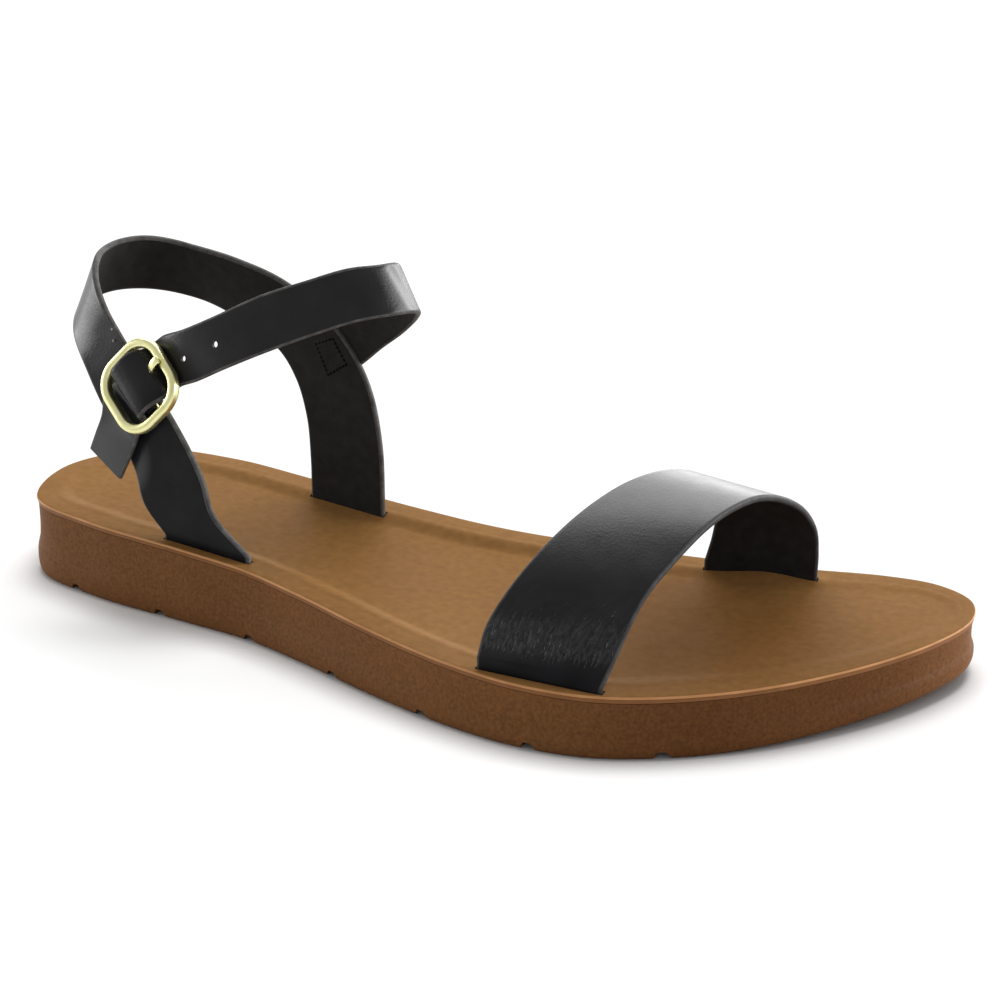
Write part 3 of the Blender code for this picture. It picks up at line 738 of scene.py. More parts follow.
def footbed_nubuck():
    """Tan footbed cover with a soft mottled nap, toned down towards the toe: part burnish, part painted shade
    from the toe band.
    """
    material, tree, shader, place = new_material("footbed_nubuck")
    broad = mottled(tree, place, 16.0, 4.0, 0.3, 0.7, (0.214, 0.1060, 0.0338), (0.254, 0.1285, 0.0438))
    fine = mottled(tree, place, 420.0, 4.0, 0.25, 0.8, (0.78, 0.765, 0.74), WHITE)
    # Toned-down zone towards the toe: part burnish, part painted shade cast by the toe band.
    toe_wear_and_shade = away_from(tree, place, (0.0805, -0.0052, 0.0), (18.0, 23.0, 0.0), 0.25, 1.3)
    wear_and_painted_shade = mixed(tree, toe_wear_and_shade, (0.63, 0.58, 0.52, 1.0), (*WHITE, 1.0))
    nap = noise(tree, place, 1900.0, 3.0)
    waves = noise(tree, place, 70.0, 2.0)
    normal = bumped(tree, waves, 0.0007, 0.04, bumped(tree, nap, 0.0001, 0.25))
    set_shader(tree, shader, base_color=multiplied(tree, multiplied(tree, broad, fine), wear_and_painted_shade), normal=normal,
               roughness=spread(tree, waves, 0.50, 0.66), specular_ior_level=0.01)
    return material


def sole_rubber():
    """Brown moulded sole, satin, with a fine grain and painted shade round the outer side of the toe."""
    material, tree, shader, place = new_material("sole_rubber")
    specks = mottled(tree, place, 1150.0, 4.0, 0.25, 0.8, (0.104, 0.0425, 0.0130), (0.187, 0.0800, 0.0272))
    clouds = mottled(tree, place, 28.0, 3.0, 0.3, 0.75, (0.86, 0.84, 0.82), WHITE)
    # Painted shade round the outer side of the toe, where the wall faces away from the lamps.
    toe_shade_mask = away_from(tree, place, (0.103, -0.0247, 0.0), (17.0, 17.0, 0.0), 0.3, 1.1)
    painted_toe_shade = mixed(tree, toe_shade_mask, (0.66, 0.60, 0.53, 1.0), (*WHITE, 1.0))
    grain = noise(tree, place, 1400.0, 3.0)
    set_shader(tree, shader, base_color=multiplied(tree, multiplied(tree, specks, clouds), painted_toe_shade),
               normal=bumped(tree, grain, 0.0001, 0.22), roughness=spread(tree, grain, 0.46, 0.62),
               specular_ior_level=0.06)
    return material


def buckle_gold():
    """Pale gold plating."""
    material, tree, shader, place = new_material("buckle_gold_plate")
    colour = mottled(tree, place, 260.0, 2.0, 0.3, 0.7, (0.80, 0.76, 0.37), (0.88, 0.85, 0.47))
    haze = noise(tree, place, 700.0, 3.0)
    set_shader(tree, shader, base_color=colour, normal=bumped(tree, haze, 0.00003, 0.2),
               roughness=spread(tree, haze, 0.28, 0.40), metallic=1.0)
    return material


def stitch_thread(name, dark, light):
    """Twisted sewing thread."""
    material, tree, shader, place = new_material(name)
    colour = mottled(tree, place, 2600.0, 2.0, 0.35, 0.65, dark, light)
    set_shader(tree, shader, base_color=colour, roughness=0.85, specular_ior_level=0.08)
    return material


LEATHER = strap_leather()
CREASED_LEATHER = toe_band_leather()
LINING = strap_lining()
CUT_EDGE = strap_edge("strap_edge", (0.030, 0.028, 0.026), (0.086, 0.081, 0.076))
BAND_EDGE = strap_edge("toe_band_edge", (0.018, 0.017, 0.017), (0.042, 0.040, 0.040))
NUBUCK = footbed_nubuck()
PALE_EDGE = footbed_edge("footbed_pale_edge", (0.36, 0.165, 0.060), (0.47, 0.235, 0.097), 0.15)
DARK_EDGE = footbed_edge("footbed_seam", (0.115, 0.042, 0.013), (0.150, 0.058, 0.019), 0.1)
WARM_EDGE = footbed_edge("footbed_lower_edge", (0.158, 0.062, 0.018), (0.208, 0.086, 0.028), 0.14)
RUBBER = sole_rubber()
GOLD = buckle_gold()
BLACK_THREAD = stitch_thread("black_thread", (0.0015, 0.0015, 0.0015), (0.004, 0.004, 0.004))
GREY_THREAD = stitch_thread("grey_thread", (0.24, 0.23, 0.22), (0.42, 0.40, 0.38))


# Sole and footbed

def sole_outline():
    curve = smooth_rows(OUTLINE, OUTLINE_STEPS, closed=True)
    curve = np.roll(curve, -int(np.argmin(curve[:, 0])), axis=0)
    toe = int(np.argmax(curve[:, 0]))
    outer = curve[: toe + 1]
    inner = np.vstack([curve[toe:], curve[:1]])[::-1]
    angles = np.linspace(0.0, math.pi, OUTLINE_STATIONS + 1)
    low, high = curve[0, 0], curve[toe, 0]
    xs = 0.5 * (low + high) - 0.5 * (high - low) * np.cos(angles)
    outer_y = np.interp(xs, outer[:, 0], outer[:, 1])
    inner_y = np.interp(xs, inner[:, 0], inner[:, 1])
    ring = np.vstack([
        np.column_stack([xs, outer_y]),
        np.column_stack([xs[-2:0:-1], inner_y[-2:0:-1]]),
    ])
    widest = side_ring(ring, *SIDE_BULGE)
    return ring - 0.5 * (widest.min(axis=0) + widest.max(axis=0))


def inset_ring(ring, inset):
    ahead = unit(np.roll(ring, -1, axis=0) - np.roll(ring, 1, axis=0))
    return ring + np.reshape(inset, (-1, 1)) * np.column_stack([-ahead[:, 1], ahead[:, 0]])


def side_ring(outline, inset, share):
    """The outline at a height of the sole's side, with the spread it has there."""
    return inset_ring(outline, inset - (1.0 - share) * along_table(HEEL_FLARE, outline[:, 0]))


def edge_height(x):
    return along_table(EDGE_HEIGHT, x)


def footbed_top(x, inset):
    t = min(max((inset - RIM_WIDTH) / DISH_SLOPE, 0.0), 1.0)
    return edge_height(x) - DISH_DEPTH * along_table(DISH_SHARE, x) * t * t * (3.0 - 2.0 * t)


def sole_top(x, inset):
    return footbed_top(x, inset) - FOOTBED_THICKNESS - GAP


def floor_height(x):
    reach = SOLE_LENGTH / 2.0 - TOE_SPRING_START
    return TOE_SPRING_RISE * np.maximum(0.0, (x - TOE_SPRING_START) / reach) ** TOE_SPRING_POWER


def ring_at(outline, inset, height):
    spots, shares = np.transpose(NARROWING)
    ring = inset_ring(outline, inset * np.interp(outline[:, 0], spots, shares))
    return np.column_stack([ring, height(ring[:, 0])])


def loft(rings, kind_of_ring):
    """Points, faces and material numbers of a closed body over rings of points."""
    count = len(rings[0])
    faces = ring_faces(len(rings), count)
    kinds = [kind_of_ring(k) for k in range(len(rings) - 1) for _ in range(count)]
    last = (len(rings) - 1) * count
    for start, turned in ((0, True), (last, False)):
        for i in range(count // 2):
            corners = (i, i + 1, (count - i - 1) % count, (count - i) % count)
            face = [start + corner for corner in dict.fromkeys(corners)]
            faces.append(face[::-1] if turned else face)
            kinds.append(kind_of_ring(0 if turned else len(rings) - 2))
    return np.vstack(rings), faces, kinds


DISH_INSETS = tuple(RIM_WIDTH + DISH_SLOPE * i / 10.0 for i in range(11))
RIM_INSETS = (2.0, 3.6, *(4.4 + 0.25 * i for i in range(11)))

# Line pressed into the footbed inside its rim
PRESSED_INSET = 5.6
PRESSED_HALF = 0.9
PRESSED_DEPTH = 0.025

# Swelling of the footbed beside the toe band's inner foot
SWELLING_X = 75.0
SWELLING_HALF_LENGTH = 10.0
SWELLING_INSET = 7.6
SWELLING_HALF_WIDTH = 2.9
SWELLING_HEIGHT = 1.7

# Edge of the footbed from below (inset, share of its depth, finish above it)
FOOTBED_EDGE = (
    (0.41, 1.09, 3),
    (0.34, 0.8, 3),
    (0.22, 0.6, 3),
    (0.12, 0.46, 2),
    (0.12, 0.38, 1),
    (0.0, 0.34, 1),
    (0.0, 0.22, 1),
    (0.1, 0.10, 1),
    (0.3, 0.02, 0),
    (0.7, 0.0, 0),
)


def make_sole(outline):
    rings = []
    for inset, share in smooth_rows(SIDE_WALL, SIDE_STEPS):
        ring = side_ring(outline, inset, share)
        x = ring[:, 0]
        rings.append(np.column_stack([ring, (1.0 - share) * floor_height(x) + share * sole_top(x, 0.0)]))
    for inset in DISH_INSETS:
        rings.append(ring_at(outline, inset, lambda x: sole_top(x, inset)))
    points, faces, kinds = loft(rings, lambda k: 0)
    sole = piece_from("moulded_sole", points, faces, [RUBBER], kinds)
    bars = run_tree(
        groove_bar(), tread_bar_tree(),
        count=GROOVE_COUNT,
        first=(GROOVE_FIRST_X * MM, 0.0, 0.0),
        pitch=(GROOVE_PITCH * MM, 0.0, 0.0),
        material=RUBBER)
    cut(sole, bars)
    dress(smoothed(sole, SOLE_SHARP), "sole_brown", "unit_sole")


def groove_bar():
    """One wedge bar with the section of a tread groove."""
    half = SOLE_LENGTH / 4.0
    low = -GROOVE_BELOW * GROOVE_DEPTH
    section = ((-GROOVE_MOUTH / 2.0, low), (GROOVE_MOUTH / 2.0, low),
               (GROOVE_FLOOR / 2.0, GROOVE_DEPTH), (-GROOVE_FLOOR / 2.0, GROOVE_DEPTH))
    points = [(x, y, z) for y in (-half, half) for x, z in section]
    faces = [(0, 1, 2, 3), (7, 6, 5, 4)]
    faces += [(i, i + 4, (i + 1) % 4 + 4, (i + 1) % 4) for i in range(4)]
    return piece_from("tread_bar", points, faces, [RUBBER])


def make_footbed(outline, feet):
    def under(inset):
        return ring_at(outline, inset, lambda x: footbed_top(x, inset) - FOOTBED_THICKNESS)

    rings = [under(inset) for inset in reversed(DISH_INSETS)]
    kind_of_edge = []
    for inset, depth, kind in FOOTBED_EDGE:
        rings.append(ring_at(outline, inset, lambda x: edge_height(x) - depth * FOOTBED_THICKNESS))
        kind_of_edge.append(kind)
    for inset in RIM_INSETS + DISH_INSETS:
        pressed = PRESSED_DEPTH * math.exp(-(((inset - PRESSED_INSET) / PRESSED_HALF) ** 2))
        ring = ring_at(outline, inset, lambda x: footbed_top(x, inset) - pressed)
        ring[:, 2] += swelling(ring, inset)
        rings.append(ring)
    first = len(DISH_INSETS)
    points, faces, kinds = loft(
        rings, lambda k: kind_of_edge[k - first] if first <= k < first + len(kind_of_edge) else 0)
    finishes = [NUBUCK, PALE_EDGE, DARK_EDGE, WARM_EDGE]
    footbed = piece_from("footbed_cover", points, faces, finishes, kinds)
    for low, high, wall in feet:
        cut(footbed, slot_box(low, high, wall))
    dress(smoothed(footbed, FOOTBED_SHARP), "footbed_tan", "footbed")


def swelling(ring, inset):
    """Height that the swelling adds on the inner side, along one ring of the footbed."""
    along = (ring[:, 0] - SWELLING_X) / SWELLING_HALF_LENGTH
    across = (inset - SWELLING_INSET) / SWELLING_HALF_WIDTH
    return np.where(ring[:, 1] > 0.0, SWELLING_HEIGHT * np.exp(-along ** 2 - across ** 2), 0.0)


SLOT_REACH = 6.0


def slot_box(low, high, wall):
    """An upright box round a strap's foot, with a small gap all round."""
    run = (high - low) * np.array([1.0, 1.0, 0.0])
    length = np.linalg.norm(run)
    along = run / length * (length / 2.0 + GAP)
    aside = np.array([-run[1], run[0], 0.0]) / length * (wall / 2.0 + GAP)
    middle = 0.5 * (low + high)
    points = [middle + a * along + b * aside + np.array([0.0, 0.0, c])
              for c in (-SLOT_REACH, SLOT_REACH) for a, b in ((-1, -1), (1, -1), (1, 1), (-1, 1))]
    return piece_from("slot_box", points, BOX_FACES, [NUBUCK])


# Straps

def heel_last(along, z):
    """A place on the last: along its heel from the back, outer side positive, and up."""
    rise = max(0.0, (z - HEEL_FOOT_Z) / (HEEL_TOP_Z - HEEL_FOOT_Z))
    radius = HEEL_RADIUS - HEEL_CLOSING * rise**HEEL_CLOSING_POWER
    side = math.copysign(1.0, along)
    quarter = HEEL_RADIUS * math.pi / 2.0
    angle = min(abs(along), quarter) / HEEL_RADIUS
    ahead = max(0.0, abs(along) - quarter)
    x = HEEL_CENTRE[0] + ahead - radius * math.cos(angle)
    y = HEEL_CENTRE[1] + HEEL_SKEW * ahead - side * radius * math.sin(angle)
    return np.array([x, y, z])


def heel_inwards(along, z, depth, step=0.2):
    """A point under the last's surface, by a small step to each side of the spot."""
    spot = heel_last(along, z)
    run = heel_last(along + step, z) - heel_last(along - step, z)
    rise = heel_last(along, z + step) - heel_last(along, z - step)
    return spot - depth * unit(np.cross(rise, -run))


def lowered(row):
    """A strap's end row carried straight down into the footbed."""
    low = (row[0], row[1], edge_height(row[0]) - FOOTBED_THICKNESS)
    high = (row[3], row[4], edge_height(row[3]) - FOOTBED_THICKNESS)
    return np.array((*low, *high))


def heel_strap_rows(steps):
    rows = [np.concatenate([heel_last(r[0], r[1]), heel_last(r[2], r[3])])
            for r in smooth_rows(HEEL_STRAP, steps)]
    return np.array([lowered(rows[0])] + rows + [lowered(rows[-1])])


def toe_band_rows(steps):
    rows = []
    for rear_s, rear_z, lean, front_s, front_z in smooth_rows(TOE_BAND_ARCH, steps):
        rear = on_arch(TOE_BAND_REAR, rear_s, lean)
        front = on_arch(TOE_BAND_FRONT, front_s, 0.0)
        rows.append(np.array((*rear, rear_z, *front, front_z)))
    return np.array([lowered(rows[0])] + rows + [lowered(rows[-1])])


def on_arch(plane, across, lean):
    """A place on the floor plan at a distance along an arch's plane and ahead of it."""
    start, end = np.array(plane)
    way = unit(end - start)
    return start + way * across + np.array((way[1], -way[0])) * lean


def buckle_matrix():
    run = Vector(BUCKLE_RUN).normalized()
    bar = Vector(BUCKLE_BAR)
    bar = (bar - run * bar.dot(run)).normalized()
    turn = Matrix((run, bar, run.cross(bar))).transposed().to_4x4()
    return Matrix.Translation(Vector(BUCKLE_CENTRE)) @ turn


def on_buckle(points):
    """Points in the frame's own axes, put in their place on the sandal."""
    place = np.array(buckle_matrix())
    return np.asarray(points) @ place[:3, :3].T + place[:3, 3]


def ankle_strap_rows(steps):
    rows = []
    for low_along, low_z, high_along, high_z in SEWN_END:
        lift = np.array([0.0, SEWN_LIFT, 0.0])
        low = heel_last(low_along, low_z) + lift
        high = heel_last(high_along, high_z) + lift
        rows.append(np.concatenate([low, high]))
    rows += [np.array(row) for row in ANKLE_LOOP]
    for run, bar, out, turn, width in THREADING:
        angle = math.radians(turn)
        half = np.array([math.sin(angle), math.cos(angle), 0.0]) * width / 2.0
        middle = np.array([run, bar, out])
        rows.append(on_buckle([middle - half, middle + half]).ravel())
    rows += [np.array(row) for row in ANKLE_TAIL]
    curve = smooth_rows(rows, steps)
    rest = np.array(ANKLE_TAIL_END) - curve[-1]
    end = [curve[-1] + rest * (i + 1) / TAIL_STEPS for i in range(TAIL_STEPS)]
    return np.vstack([curve, end])


def trough(along, across, crease):
    """Depth of one soft crease at places along and across the strap."""
    start = np.array(crease[:2])
    end = np.array(crease[2:4])
    depth, half = crease[4:]
    way = end - start
    spot = np.stack([along, across], axis=-1) - start
    t = np.clip((spot @ way) / (way @ way), 0.0, 1.0)
    near = np.linalg.norm(spot - t[..., None] * way, axis=-1) / half
    return -depth * np.exp(-near**2) + RIDGE_SHARE * depth * np.exp(-((near - RIDGE_PLACE) ** 2))


PART_FINISH = {"outer": 0, "edge": 1, "inner": 2}


def strap_section(ts, wall, radius):
    """A strap's section, round from its outer face: part, share, beyond the edge, height."""
    corner = [math.pi / 2.0 * i / 4.0 for i in range(1, 4)]
    edge = [(radius * math.sin(a), radius * (math.cos(a) - 1.0)) for a in corner]
    edge += [(radius, -radius), (radius, radius - wall)]
    edge += [(radius * math.cos(a), radius * (1.0 - math.sin(a)) - wall) for a in corner]
    section = [("outer", t, 0.0, 0.0) for t in ts]
    section += [("edge", 1.0, beyond, height) for beyond, height in edge]
    section += [("inner", t, 0.0, -wall) for t in ts[::-1]]
    section += [("edge", 0.0, -beyond, height) for beyond, height in edge[::-1]]
    return section


def make_strap(name, rows, wall, across, materials, creases, lift=0.0):
    """A strap's wall with rounded cut edges, from rows of lower and upper points."""
    low = rows[:, :3]
    high = rows[:, 3:]
    ts = np.linspace(0.0, 1.0, across + 1)
    sheet = low[:, None] * (1.0 - ts)[None, :, None] + high[:, None] * ts[None, :, None]
    run = np.gradient(sheet, axis=0)
    wide = np.gradient(sheet, axis=1)
    normals = unit(np.cross(wide, run))
    width = np.linalg.norm(high - low, axis=1)
    middle = sheet[:, across // 2]
    along = np.concatenate([[0.0], np.cumsum(np.linalg.norm(np.diff(middle, axis=0), axis=1))])
    radius = EDGE_ROUNDING * wall
    section = strap_section(ts, wall, radius)
    count = len(section)
    points = np.zeros((len(rows), count, 3))
    places = np.zeros((len(rows), count, 2))
    for j, (part, t, beyond, height) in enumerate(section):
        reach = radius + (width - 2.0 * radius) * t + beyond
        share = reach / width
        base = low + (high - low) * share[:, None]
        k = np.clip(share * across, 0.0, across - 1e-6)
        i = k.astype(int)
        rest = (k - i)[:, None]
        rows_index = np.arange(len(rows))
        normal = unit(normals[rows_index, i] * (1.0 - rest) + normals[rows_index, i + 1] * rest)
        rise = np.full(len(rows), height + lift)
        if part == "outer":
            fade = np.clip(np.minimum(reach, width - reach) / CREASE_MARGIN, 0.0, 1.0)
            for crease in creases:
                rise += fade * trough(along, reach, crease)
        points[:, j] = base + normal * rise[:, None]
        places[:, j] = np.column_stack([along, reach])
    faces = ring_faces(len(rows), count)
    parts = [row[0] for row in section]
    pairs = zip(parts, parts[1:] + parts[:1])
    kinds = [PART_FINISH[one if one == other else "edge"] for one, other in pairs] * (len(rows) - 1)
    for start, turned in ((0, True), ((len(rows) - 1) * count, False)):
        cap = strap_end(section, start, across)
        faces += [face[::-1] if turned else face for face in cap]
        kinds += [PART_FINISH["edge"]] * len(cap)
    strap = piece_from(name, points.reshape(-1, 3), faces, materials, kinds, angle=STRAP_SHARP)
    layer = strap.data.uv_layers.new(name="strap_path")
    corners = np.zeros(len(strap.data.loops), dtype=np.int32)
    strap.data.loops.foreach_get("vertex_index", corners)
    layer.data.foreach_set("uv", (places.reshape(-1, 2)[corners] * MM).astype(np.float32).ravel())
    return strap


def strap_end(section, start, across):
    """Faces that close the end of a strap, between its outer and inner face."""
    count = len(section)
    inner_first = next(i for i, row in enumerate(section) if row[0] == "inner")
    cap = []
    for i in range(across):
        inner = start + inner_first + across - i
        cap.append((start + i, start + i + 1, inner - 1, inner))
    cap.append(tuple(range(start + across, start + inner_first + 1)))
    cap.append((*range(start + inner_first + across, start + count), start))
    return cap


def strap_foot(row, wall, inwards):
    """The two ends of a slot round a strap's foot, in the middle of its wall, and the wall."""
    low = row[:3]
    high = row[3:]
    run = unit(high - low)
    step = np.array([-run[1], run[0], 0.0]) * inwards * wall / 2.0
    return low + step, high + step, wall


def make_straps():
    """The three straps. Gives the places of their feet, for the footbed's slots."""
    leathers = [LEATHER, CUT_EDGE, LINING]
    band_rows = toe_band_rows(TOE_BAND_MESH[0])
    heel_rows = heel_strap_rows(HEEL_STRAP_MESH[0])
    ankle_rows = ankle_strap_rows(ANKLE_MESH[0])
    band = make_strap("toe_band_strap", band_rows, TOE_BAND_WALL, TOE_BAND_MESH[1],
                      [CREASED_LEATHER, BAND_EDGE, LINING], TOE_BAND_CREASES)
    heel = make_strap("heel_strap", heel_rows, HEEL_STRAP_WALL, HEEL_STRAP_MESH[1], leathers, HEEL_CREASES)
    ankle = make_strap("ankle_strap", ankle_rows, ANKLE_WALL, ANKLE_MESH[1], leathers,
                       ANKLE_CREASES, ANKLE_WALL / 2.0)
    punch_holes(ankle, ankle_rows)
    dress(band, "strap_black", "toe_band")
    dress(heel, "strap_black", "ankle_upper")
    dress(ankle, "strap_black", "ankle_upper")
    return [strap_foot(rows[end], wall, inwards)
            for rows, wall in ((heel_rows, HEEL_STRAP_WALL), (band_rows, TOE_BAND_WALL))
            for end, inwards in ((0, 1.0), (-1, -1.0))]


def punch_holes(ankle, rows):
    """Two free holes and the prong's hole, punched through the ankle strap."""
    middles = 0.5 * (rows[:, :3] + rows[:, 3:])
    tree = hole_punch_tree()
    free = []
    for spot in HOLE_SPOTS:
        i = int(np.argmin(np.linalg.norm(middles - np.array(spot), axis=1)))
        way = unit(np.cross(rows[i, 3:] - rows[i, :3], middles[i + 1] - middles[i - 1]))
        free.append((np.array(spot), unit(way + PUNCH_LEAN * np.array(PUNCH_WAY))))
    points = piece_from("punch_points", [spot for spot, way in free], [], [])
    facing = points.data.attributes.new("facing", "FLOAT_VECTOR", "POINT")
    facing.data.foreach_set("vector", np.array([way for spot, way in free], dtype=np.float32).ravel())
    cut(ankle, run_tree(points, tree, radius=HOLE_RADIUS * MM, length=PUNCH_LENGTH * MM, material=CUT_EDGE))
    cut(ankle, prong_punch())
    smoothed(ankle, STRAP_SHARP)


def prong_punch():
    """A narrow oval punch along the prong, where it comes through the strap."""
    start, end = (np.array((run, PRONG_ASIDE, out)) for run, out in (PRONG_BELOW, PRONG_ABOVE))
    way = end - start
    path = [start - way, start, end, end + way]
    points, faces = swept(path, oval(*PRONG_HOLE_HALF, HOLE_SQUARE), False, (0.0, 1.0, 0.0))
    return buckle_piece("prong_punch", points, faces, CUT_EDGE)


# Buckle

def rounded_square(length, width, corner, steps):
    points = []
    for quarter in range(4):
        sign_x = (1, -1, -1, 1)[quarter]
        sign_y = (1, 1, -1, -1)[quarter]
        for i in range(steps + 1):
            angle = math.pi / 2.0 * (quarter + i / steps)
            points.append((sign_x * (length / 2.0 - corner) + corner * math.cos(angle),
                           sign_y * (width / 2.0 - corner) + corner * math.sin(angle), 0.0))
    return np.array(points)


def swept(path, section, closed, aside=None):
    """Points and faces of a section (aside, up) carried along a path."""
    path = np.asarray(path, dtype=float)
    if closed:
        ahead = unit(np.roll(path, -1, axis=0) - np.roll(path, 1, axis=0))
    else:
        ahead = unit(np.gradient(path, axis=0))
    if aside is None:
        side = unit(np.cross(ahead, np.array([0.0, 0.0, 1.0])))
    else:
        side = np.tile(np.array(aside, dtype=float), (len(path), 1))
    over = unit(np.cross(side, ahead))
    sections = section if isinstance(section, list) else [section] * len(path)
    rings = [p + s[:, :1] * a + s[:, 1:] * o for p, s, a, o in zip(path, sections, side, over)]
    count = len(sections[0])
    faces = ring_faces(len(path), count, closed)
    if not closed:
        faces.append(tuple(range(count))[::-1])
        faces.append(tuple(range((len(path) - 1) * count, len(path) * count)))
    return np.vstack(rings), faces


def oval(half_aside, half_up, power, count=28):
    """A rounded section: power 2 is an ellipse, more is squarer."""
    angles = np.linspace(0.0, 2.0 * math.pi, count, endpoint=False)
    c, s = np.cos(angles), np.sin(angles)
    return np.column_stack([
        half_aside * np.sign(c) * np.abs(c) ** (2.0 / power),
        half_up * np.sign(s) * np.abs(s) ** (2.0 / power),
    ])


def outwards(piece):
    """Turns the piece's faces outwards."""
    bm = bmesh.new()
    bm.from_mesh(piece.data)
    bmesh.ops.recalc_face_normals(bm, faces=bm.faces)
    bm.to_mesh(piece.data)
    bm.free()
    return piece


def buckle_piece(name, points, faces, material):
    """A piece from points in the frame's own axes."""
    return outwards(piece_from(name, on_buckle(points), faces, [material], angle=BUCKLE_SHARP))


def make_buckle():
    """The frame with its centre bar, the prong and the loop."""
    length = FRAME_LENGTH - 2.0 * FRAME_ROD
    width = FRAME_WIDTH - 2.0 * FRAME_ROD
    path = rounded_square(length, width, FRAME_CORNER - FRAME_ROD, 16) + np.array((0.0, 0.0, FRAME_LIFT))
    points, faces = swept(path, oval(FRAME_ROD, FRAME_ROD * FRAME_DEEPEN, FRAME_SQUARE, 40), True)
    frame_piece = buckle_piece("buckle_ring", points, faces, GOLD)
    reach = width / 2.0
    end = -BAR_END_SHARE * BAR_DROP
    bar_path = smooth_rows([(0.0, -reach, end), (0.0, BAR_BEND - reach, -BAR_DROP),
                            (0.0, reach - BAR_BEND, -BAR_DROP), (0.0, reach, end)], 6)
    points, faces = swept(bar_path, oval(BAR_ROD, BAR_ROD, BAR_SQUARE, 20), False, (1.0, 0.0, 0.0))
    bar_piece = buckle_piece("buckle_centre_bar", points, faces, GOLD)
    dress(frame_piece, "buckle_gold", "buckle_frame")
    dress(bar_piece, "buckle_gold", "buckle_frame")
    make_prong()
    make_tab()


def make_prong():
    """The prong: hooked on the bar, through the strap and over the frame's far side."""
    hook = BAR_ROD + PRONG_GAP + PRONG_ROD
    turns = [math.radians(HOOK_START - HOOK_TURN * i / HOOK_STEPS) for i in range(HOOK_STEPS + 1)]
    path = [(hook * math.cos(a), 0.0, hook * math.sin(a) - BAR_DROP) for a in turns]
    side = FRAME_LENGTH / 2.0 - FRAME_ROD
    rest = FRAME_LIFT + FRAME_ROD * FRAME_DEEPEN + PRONG_GAP + PRONG_ROD
    tongue = [PRONG_BELOW, PRONG_ABOVE, (side - 1.8, rest - 0.2), (side, rest), (side + 0.6, rest - 0.1)]
    tongue = [path[-1], *((run, 0.0, out) for run, out in tongue)]
    path = np.vstack([path[:-1], smooth_rows(tongue, 6)]) + np.array((0.0, PRONG_ASIDE, 0.0))
    wide = PRONG_ROD * PRONG_WIDEN
    sections = []
    for i in range(len(path)):
        left = math.sqrt((len(path) - 1 - i) / PRONG_TAPER_STEPS)
        taper = min(1.0, PRONG_TIP + (1.0 - PRONG_TIP) * left)
        sections.append(oval(wide * taper, PRONG_ROD * taper, PRONG_SQUARE, 24))
    points, faces = swept(path, sections, False, (0.0, 1.0, 0.0))
    dress(buckle_piece("buckle_pin", points, faces, GOLD), "buckle_gold", "buckle_prong")


def make_tab():
    """The leather loop round the centre bar, slit in the middle for the prong."""
    middle = BAR_ROD + GAP + TAB_WALL / 2.0
    turns = [math.radians(TAB_TURN * (2.0 * i / TAB_TURN_STEPS - 1.0)) for i in range(TAB_TURN_STEPS + 1)]
    path = [(middle * math.cos(a), middle * math.sin(a)) for a in turns]
    under = [(TAB_STEP * i - TAB_UNDER, path[0][1]) for i in range(TAB_STEPS)]
    over = [(-TAB_STEP * i - TAB_OVER, path[-1][1]) for i in range(TAB_STEPS)]
    line = np.array([(run, 0.0, out - BAR_DROP) for run, out in under + path + over])
    points, faces = swept(line, oval(TAB_WIDTH / 2.0, TAB_WALL / 2.0, TAB_SQUARE, 40), False, (0.0, 1.0, 0.0))
    tab = buckle_piece("buckle_loop", points, faces, LEATHER)
    low, high = PRONG_ASIDE - TAB_SLOT / 2.0, PRONG_ASIDE + TAB_SLOT / 2.0
    (back, front), heights = TAB_SLIT
    box = [(x, y, z) for z in heights for x, y in ((back, low), (front, low), (front, high), (back, high))]
    cut(tab, buckle_piece("loop_slit", box, BOX_FACES, LEATHER))
    dress(tab, "strap_black", "buckle_tab")


# Stitches

def stitch_curve(name, points):
    curve = bpy.data.curves.new(name, "CURVE")
    curve.dimensions = "3D"
    spline = curve.splines.new("POLY")
    spline.points.add(len(points) - 1)
    for point, target in zip(points, spline.points):
        target.co = (*(np.asarray(point) * MM), 1.0)
    return link(bpy.data.objects.new(name, curve))


def sew(name, points, stitch, thread):
    """A row of stitches along points: pitch, stitch length and thread radius."""
    pitch, length, radius = (size * MM for size in stitch)
    row = run_tree(stitch_curve(name, points), stitch_tree(), pitch=pitch, stitch_length=length,
                   thread_radius=radius, material=thread)
    dress(row, "strap_black")


def make_stitches():
    """The box round the ankle strap's sewn end, on the lining, and the loop's tack."""
    box = []
    for (a0, z0), (a1, z1) in zip(SEWN_BOX, SEWN_BOX[1:]):
        for i in range(SEWN_BOX_STEPS):
            t = i / SEWN_BOX_STEPS
            box.append(heel_inwards(a0 + (a1 - a0) * t, z0 + (z1 - z0) * t, SEWN_BOX_DEPTH))
    box.append(box[0])
    sew("sewn_box", box, SEWN_BOX_STITCH, BLACK_THREAD)
    tack = [heel_inwards(along, z, LOOP_TACK_DEPTH) for along, z in LOOP_TACK]
    sew("loop_tack", tack, LOOP_TACK_STITCH, GREY_THREAD)


# Stage

CAMERA_AIM = (-7.914, 47.739, 20.0)
CAMERA_AZIMUTH = 26.0
CAMERA_ELEVATION = 21.0
CAMERA_DISTANCE = 600.0
CAMERA_LENS = 76.946
FLOOR_SIZE = 18000.0
WORLD_LIGHT = 0.58

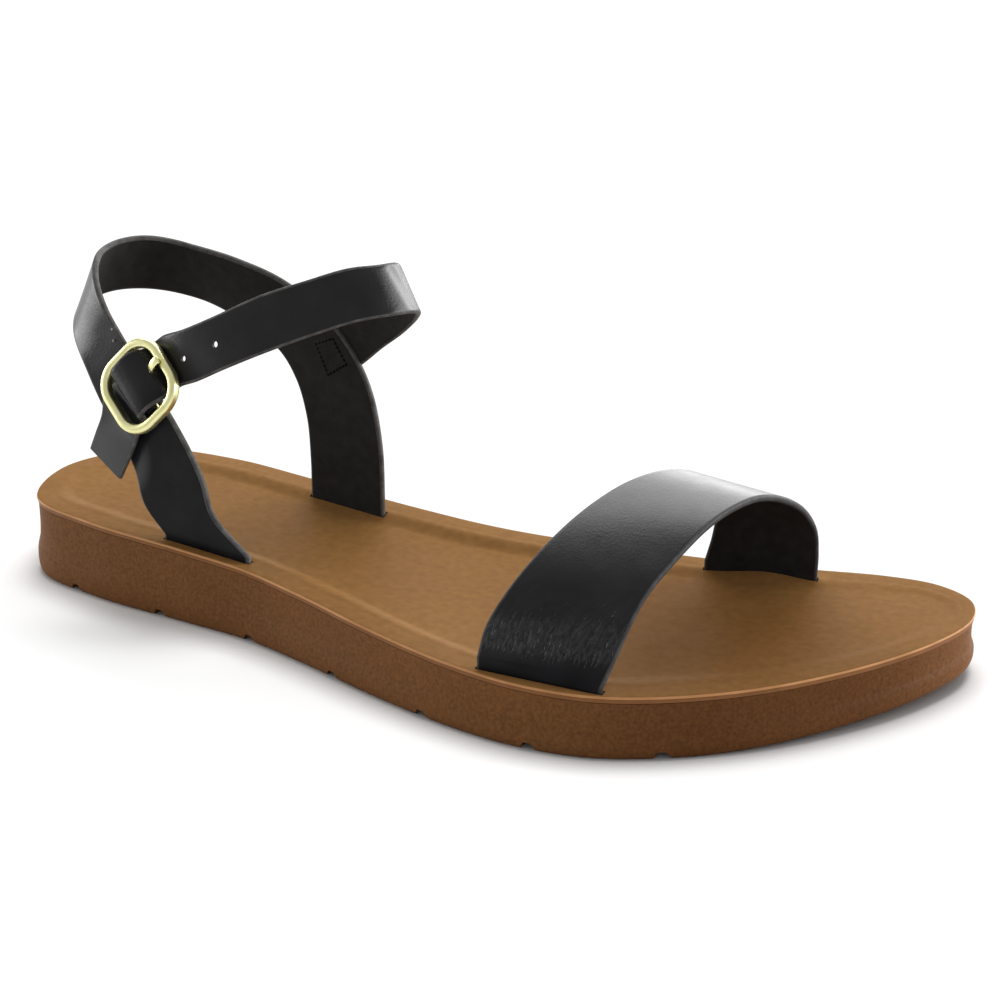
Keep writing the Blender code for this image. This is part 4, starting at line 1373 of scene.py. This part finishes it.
# Soft boxes in metres (place, aim, size, power), each for all but the floor or for it alone
MIDDLE = (0.0, 0.0, 0.05)
FLOOR_MIDDLE = (0.0, 0.0, 0.0)
SOFT_BOXES = (
    ("high_back_box", (-0.45, 0.95, 1.08), FLOOR_MIDDLE, (1.4, 0.9), 18.0, "EXCLUDE"),
    ("low_back_box", (0.0, 1.7, 0.4), MIDDLE, (3.0, 0.8), 33.0, "EXCLUDE"),
    ("right_box", (1.2, 0.85, 0.42), MIDDLE, (2.0, 0.5), 33.0, "EXCLUDE"),
    ("left_box", (-1.4, -0.12, 0.25), MIDDLE, (0.9, 0.5), 10.0, "EXCLUDE"),
    ("floor_box", (0.0, 0.9, 4.0), FLOOR_MIDDLE, (2.3, 2.3), 152.0, "INCLUDE"),
)


def make_camera():
    az = math.radians(CAMERA_AZIMUTH)
    el = math.radians(CAMERA_ELEVATION)
    back = Vector((math.sin(az) * math.cos(el), -math.cos(az) * math.cos(el), math.sin(el)))
    data = bpy.data.cameras.new("photo_camera")
    data.lens = CAMERA_LENS
    data.sensor_width = 36.0
    data.clip_start = 0.01
    data.clip_end = 50.0
    camera = link(bpy.data.objects.new("photo_camera", data))
    camera.location = (Vector(CAMERA_AIM) + CAMERA_DISTANCE * back) * MM
    camera.rotation_euler = back.to_track_quat("Z", "Y").to_euler()
    bpy.context.scene.camera = camera


def soft_light(floor, name, place, aim, size, power, on_floor):
    """A soft box for all but the floor, or for the floor alone."""
    data = bpy.data.lights.new(name, "AREA")
    data.shape = "RECTANGLE"
    data.size, data.size_y = size
    data.energy = power
    light = link(bpy.data.objects.new(name, data))
    light.location = place
    light.rotation_euler = (Vector(place) - Vector(aim)).to_track_quat("Z", "Y").to_euler()
    reach = bpy.data.collections.new(name + "_reach")
    reach.objects.link(floor)
    reach.collection_objects[0].light_linking.link_state = on_floor
    light.light_linking.receiver_collection = reach


def make_stage():
    material, tree, shader, _ = new_material("studio_white")
    set_shader(tree, shader, base_color=(0.8, 0.8, 0.8, 1.0), roughness=0.9, specular_ior_level=0.0)
    half = FLOOR_SIZE / 2.0
    corners = [(-half, -half, 0.0), (half, -half, 0.0), (half, half, 0.0), (-half, half, 0.0)]
    floor = piece_from("studio_floor", corners, [(0, 1, 2, 3)], [material])
    world = bpy.data.worlds.new("studio")
    world.use_nodes = True
    background = world.node_tree.nodes["Background"]
    background.inputs["Color"].default_value = (*WHITE, 1.0)
    background.inputs["Strength"].default_value = WORLD_LIGHT
    bpy.context.scene.world = world
    for box in SOFT_BOXES:
        soft_light(floor, *box)
    bpy.context.scene.view_settings.view_transform = "Standard"


sole_edge = sole_outline()
strap_feet = make_straps()
make_sole(sole_edge)
make_footbed(sole_edge, strap_feet)
make_buckle()
make_stitches()
make_stage()
make_camera()
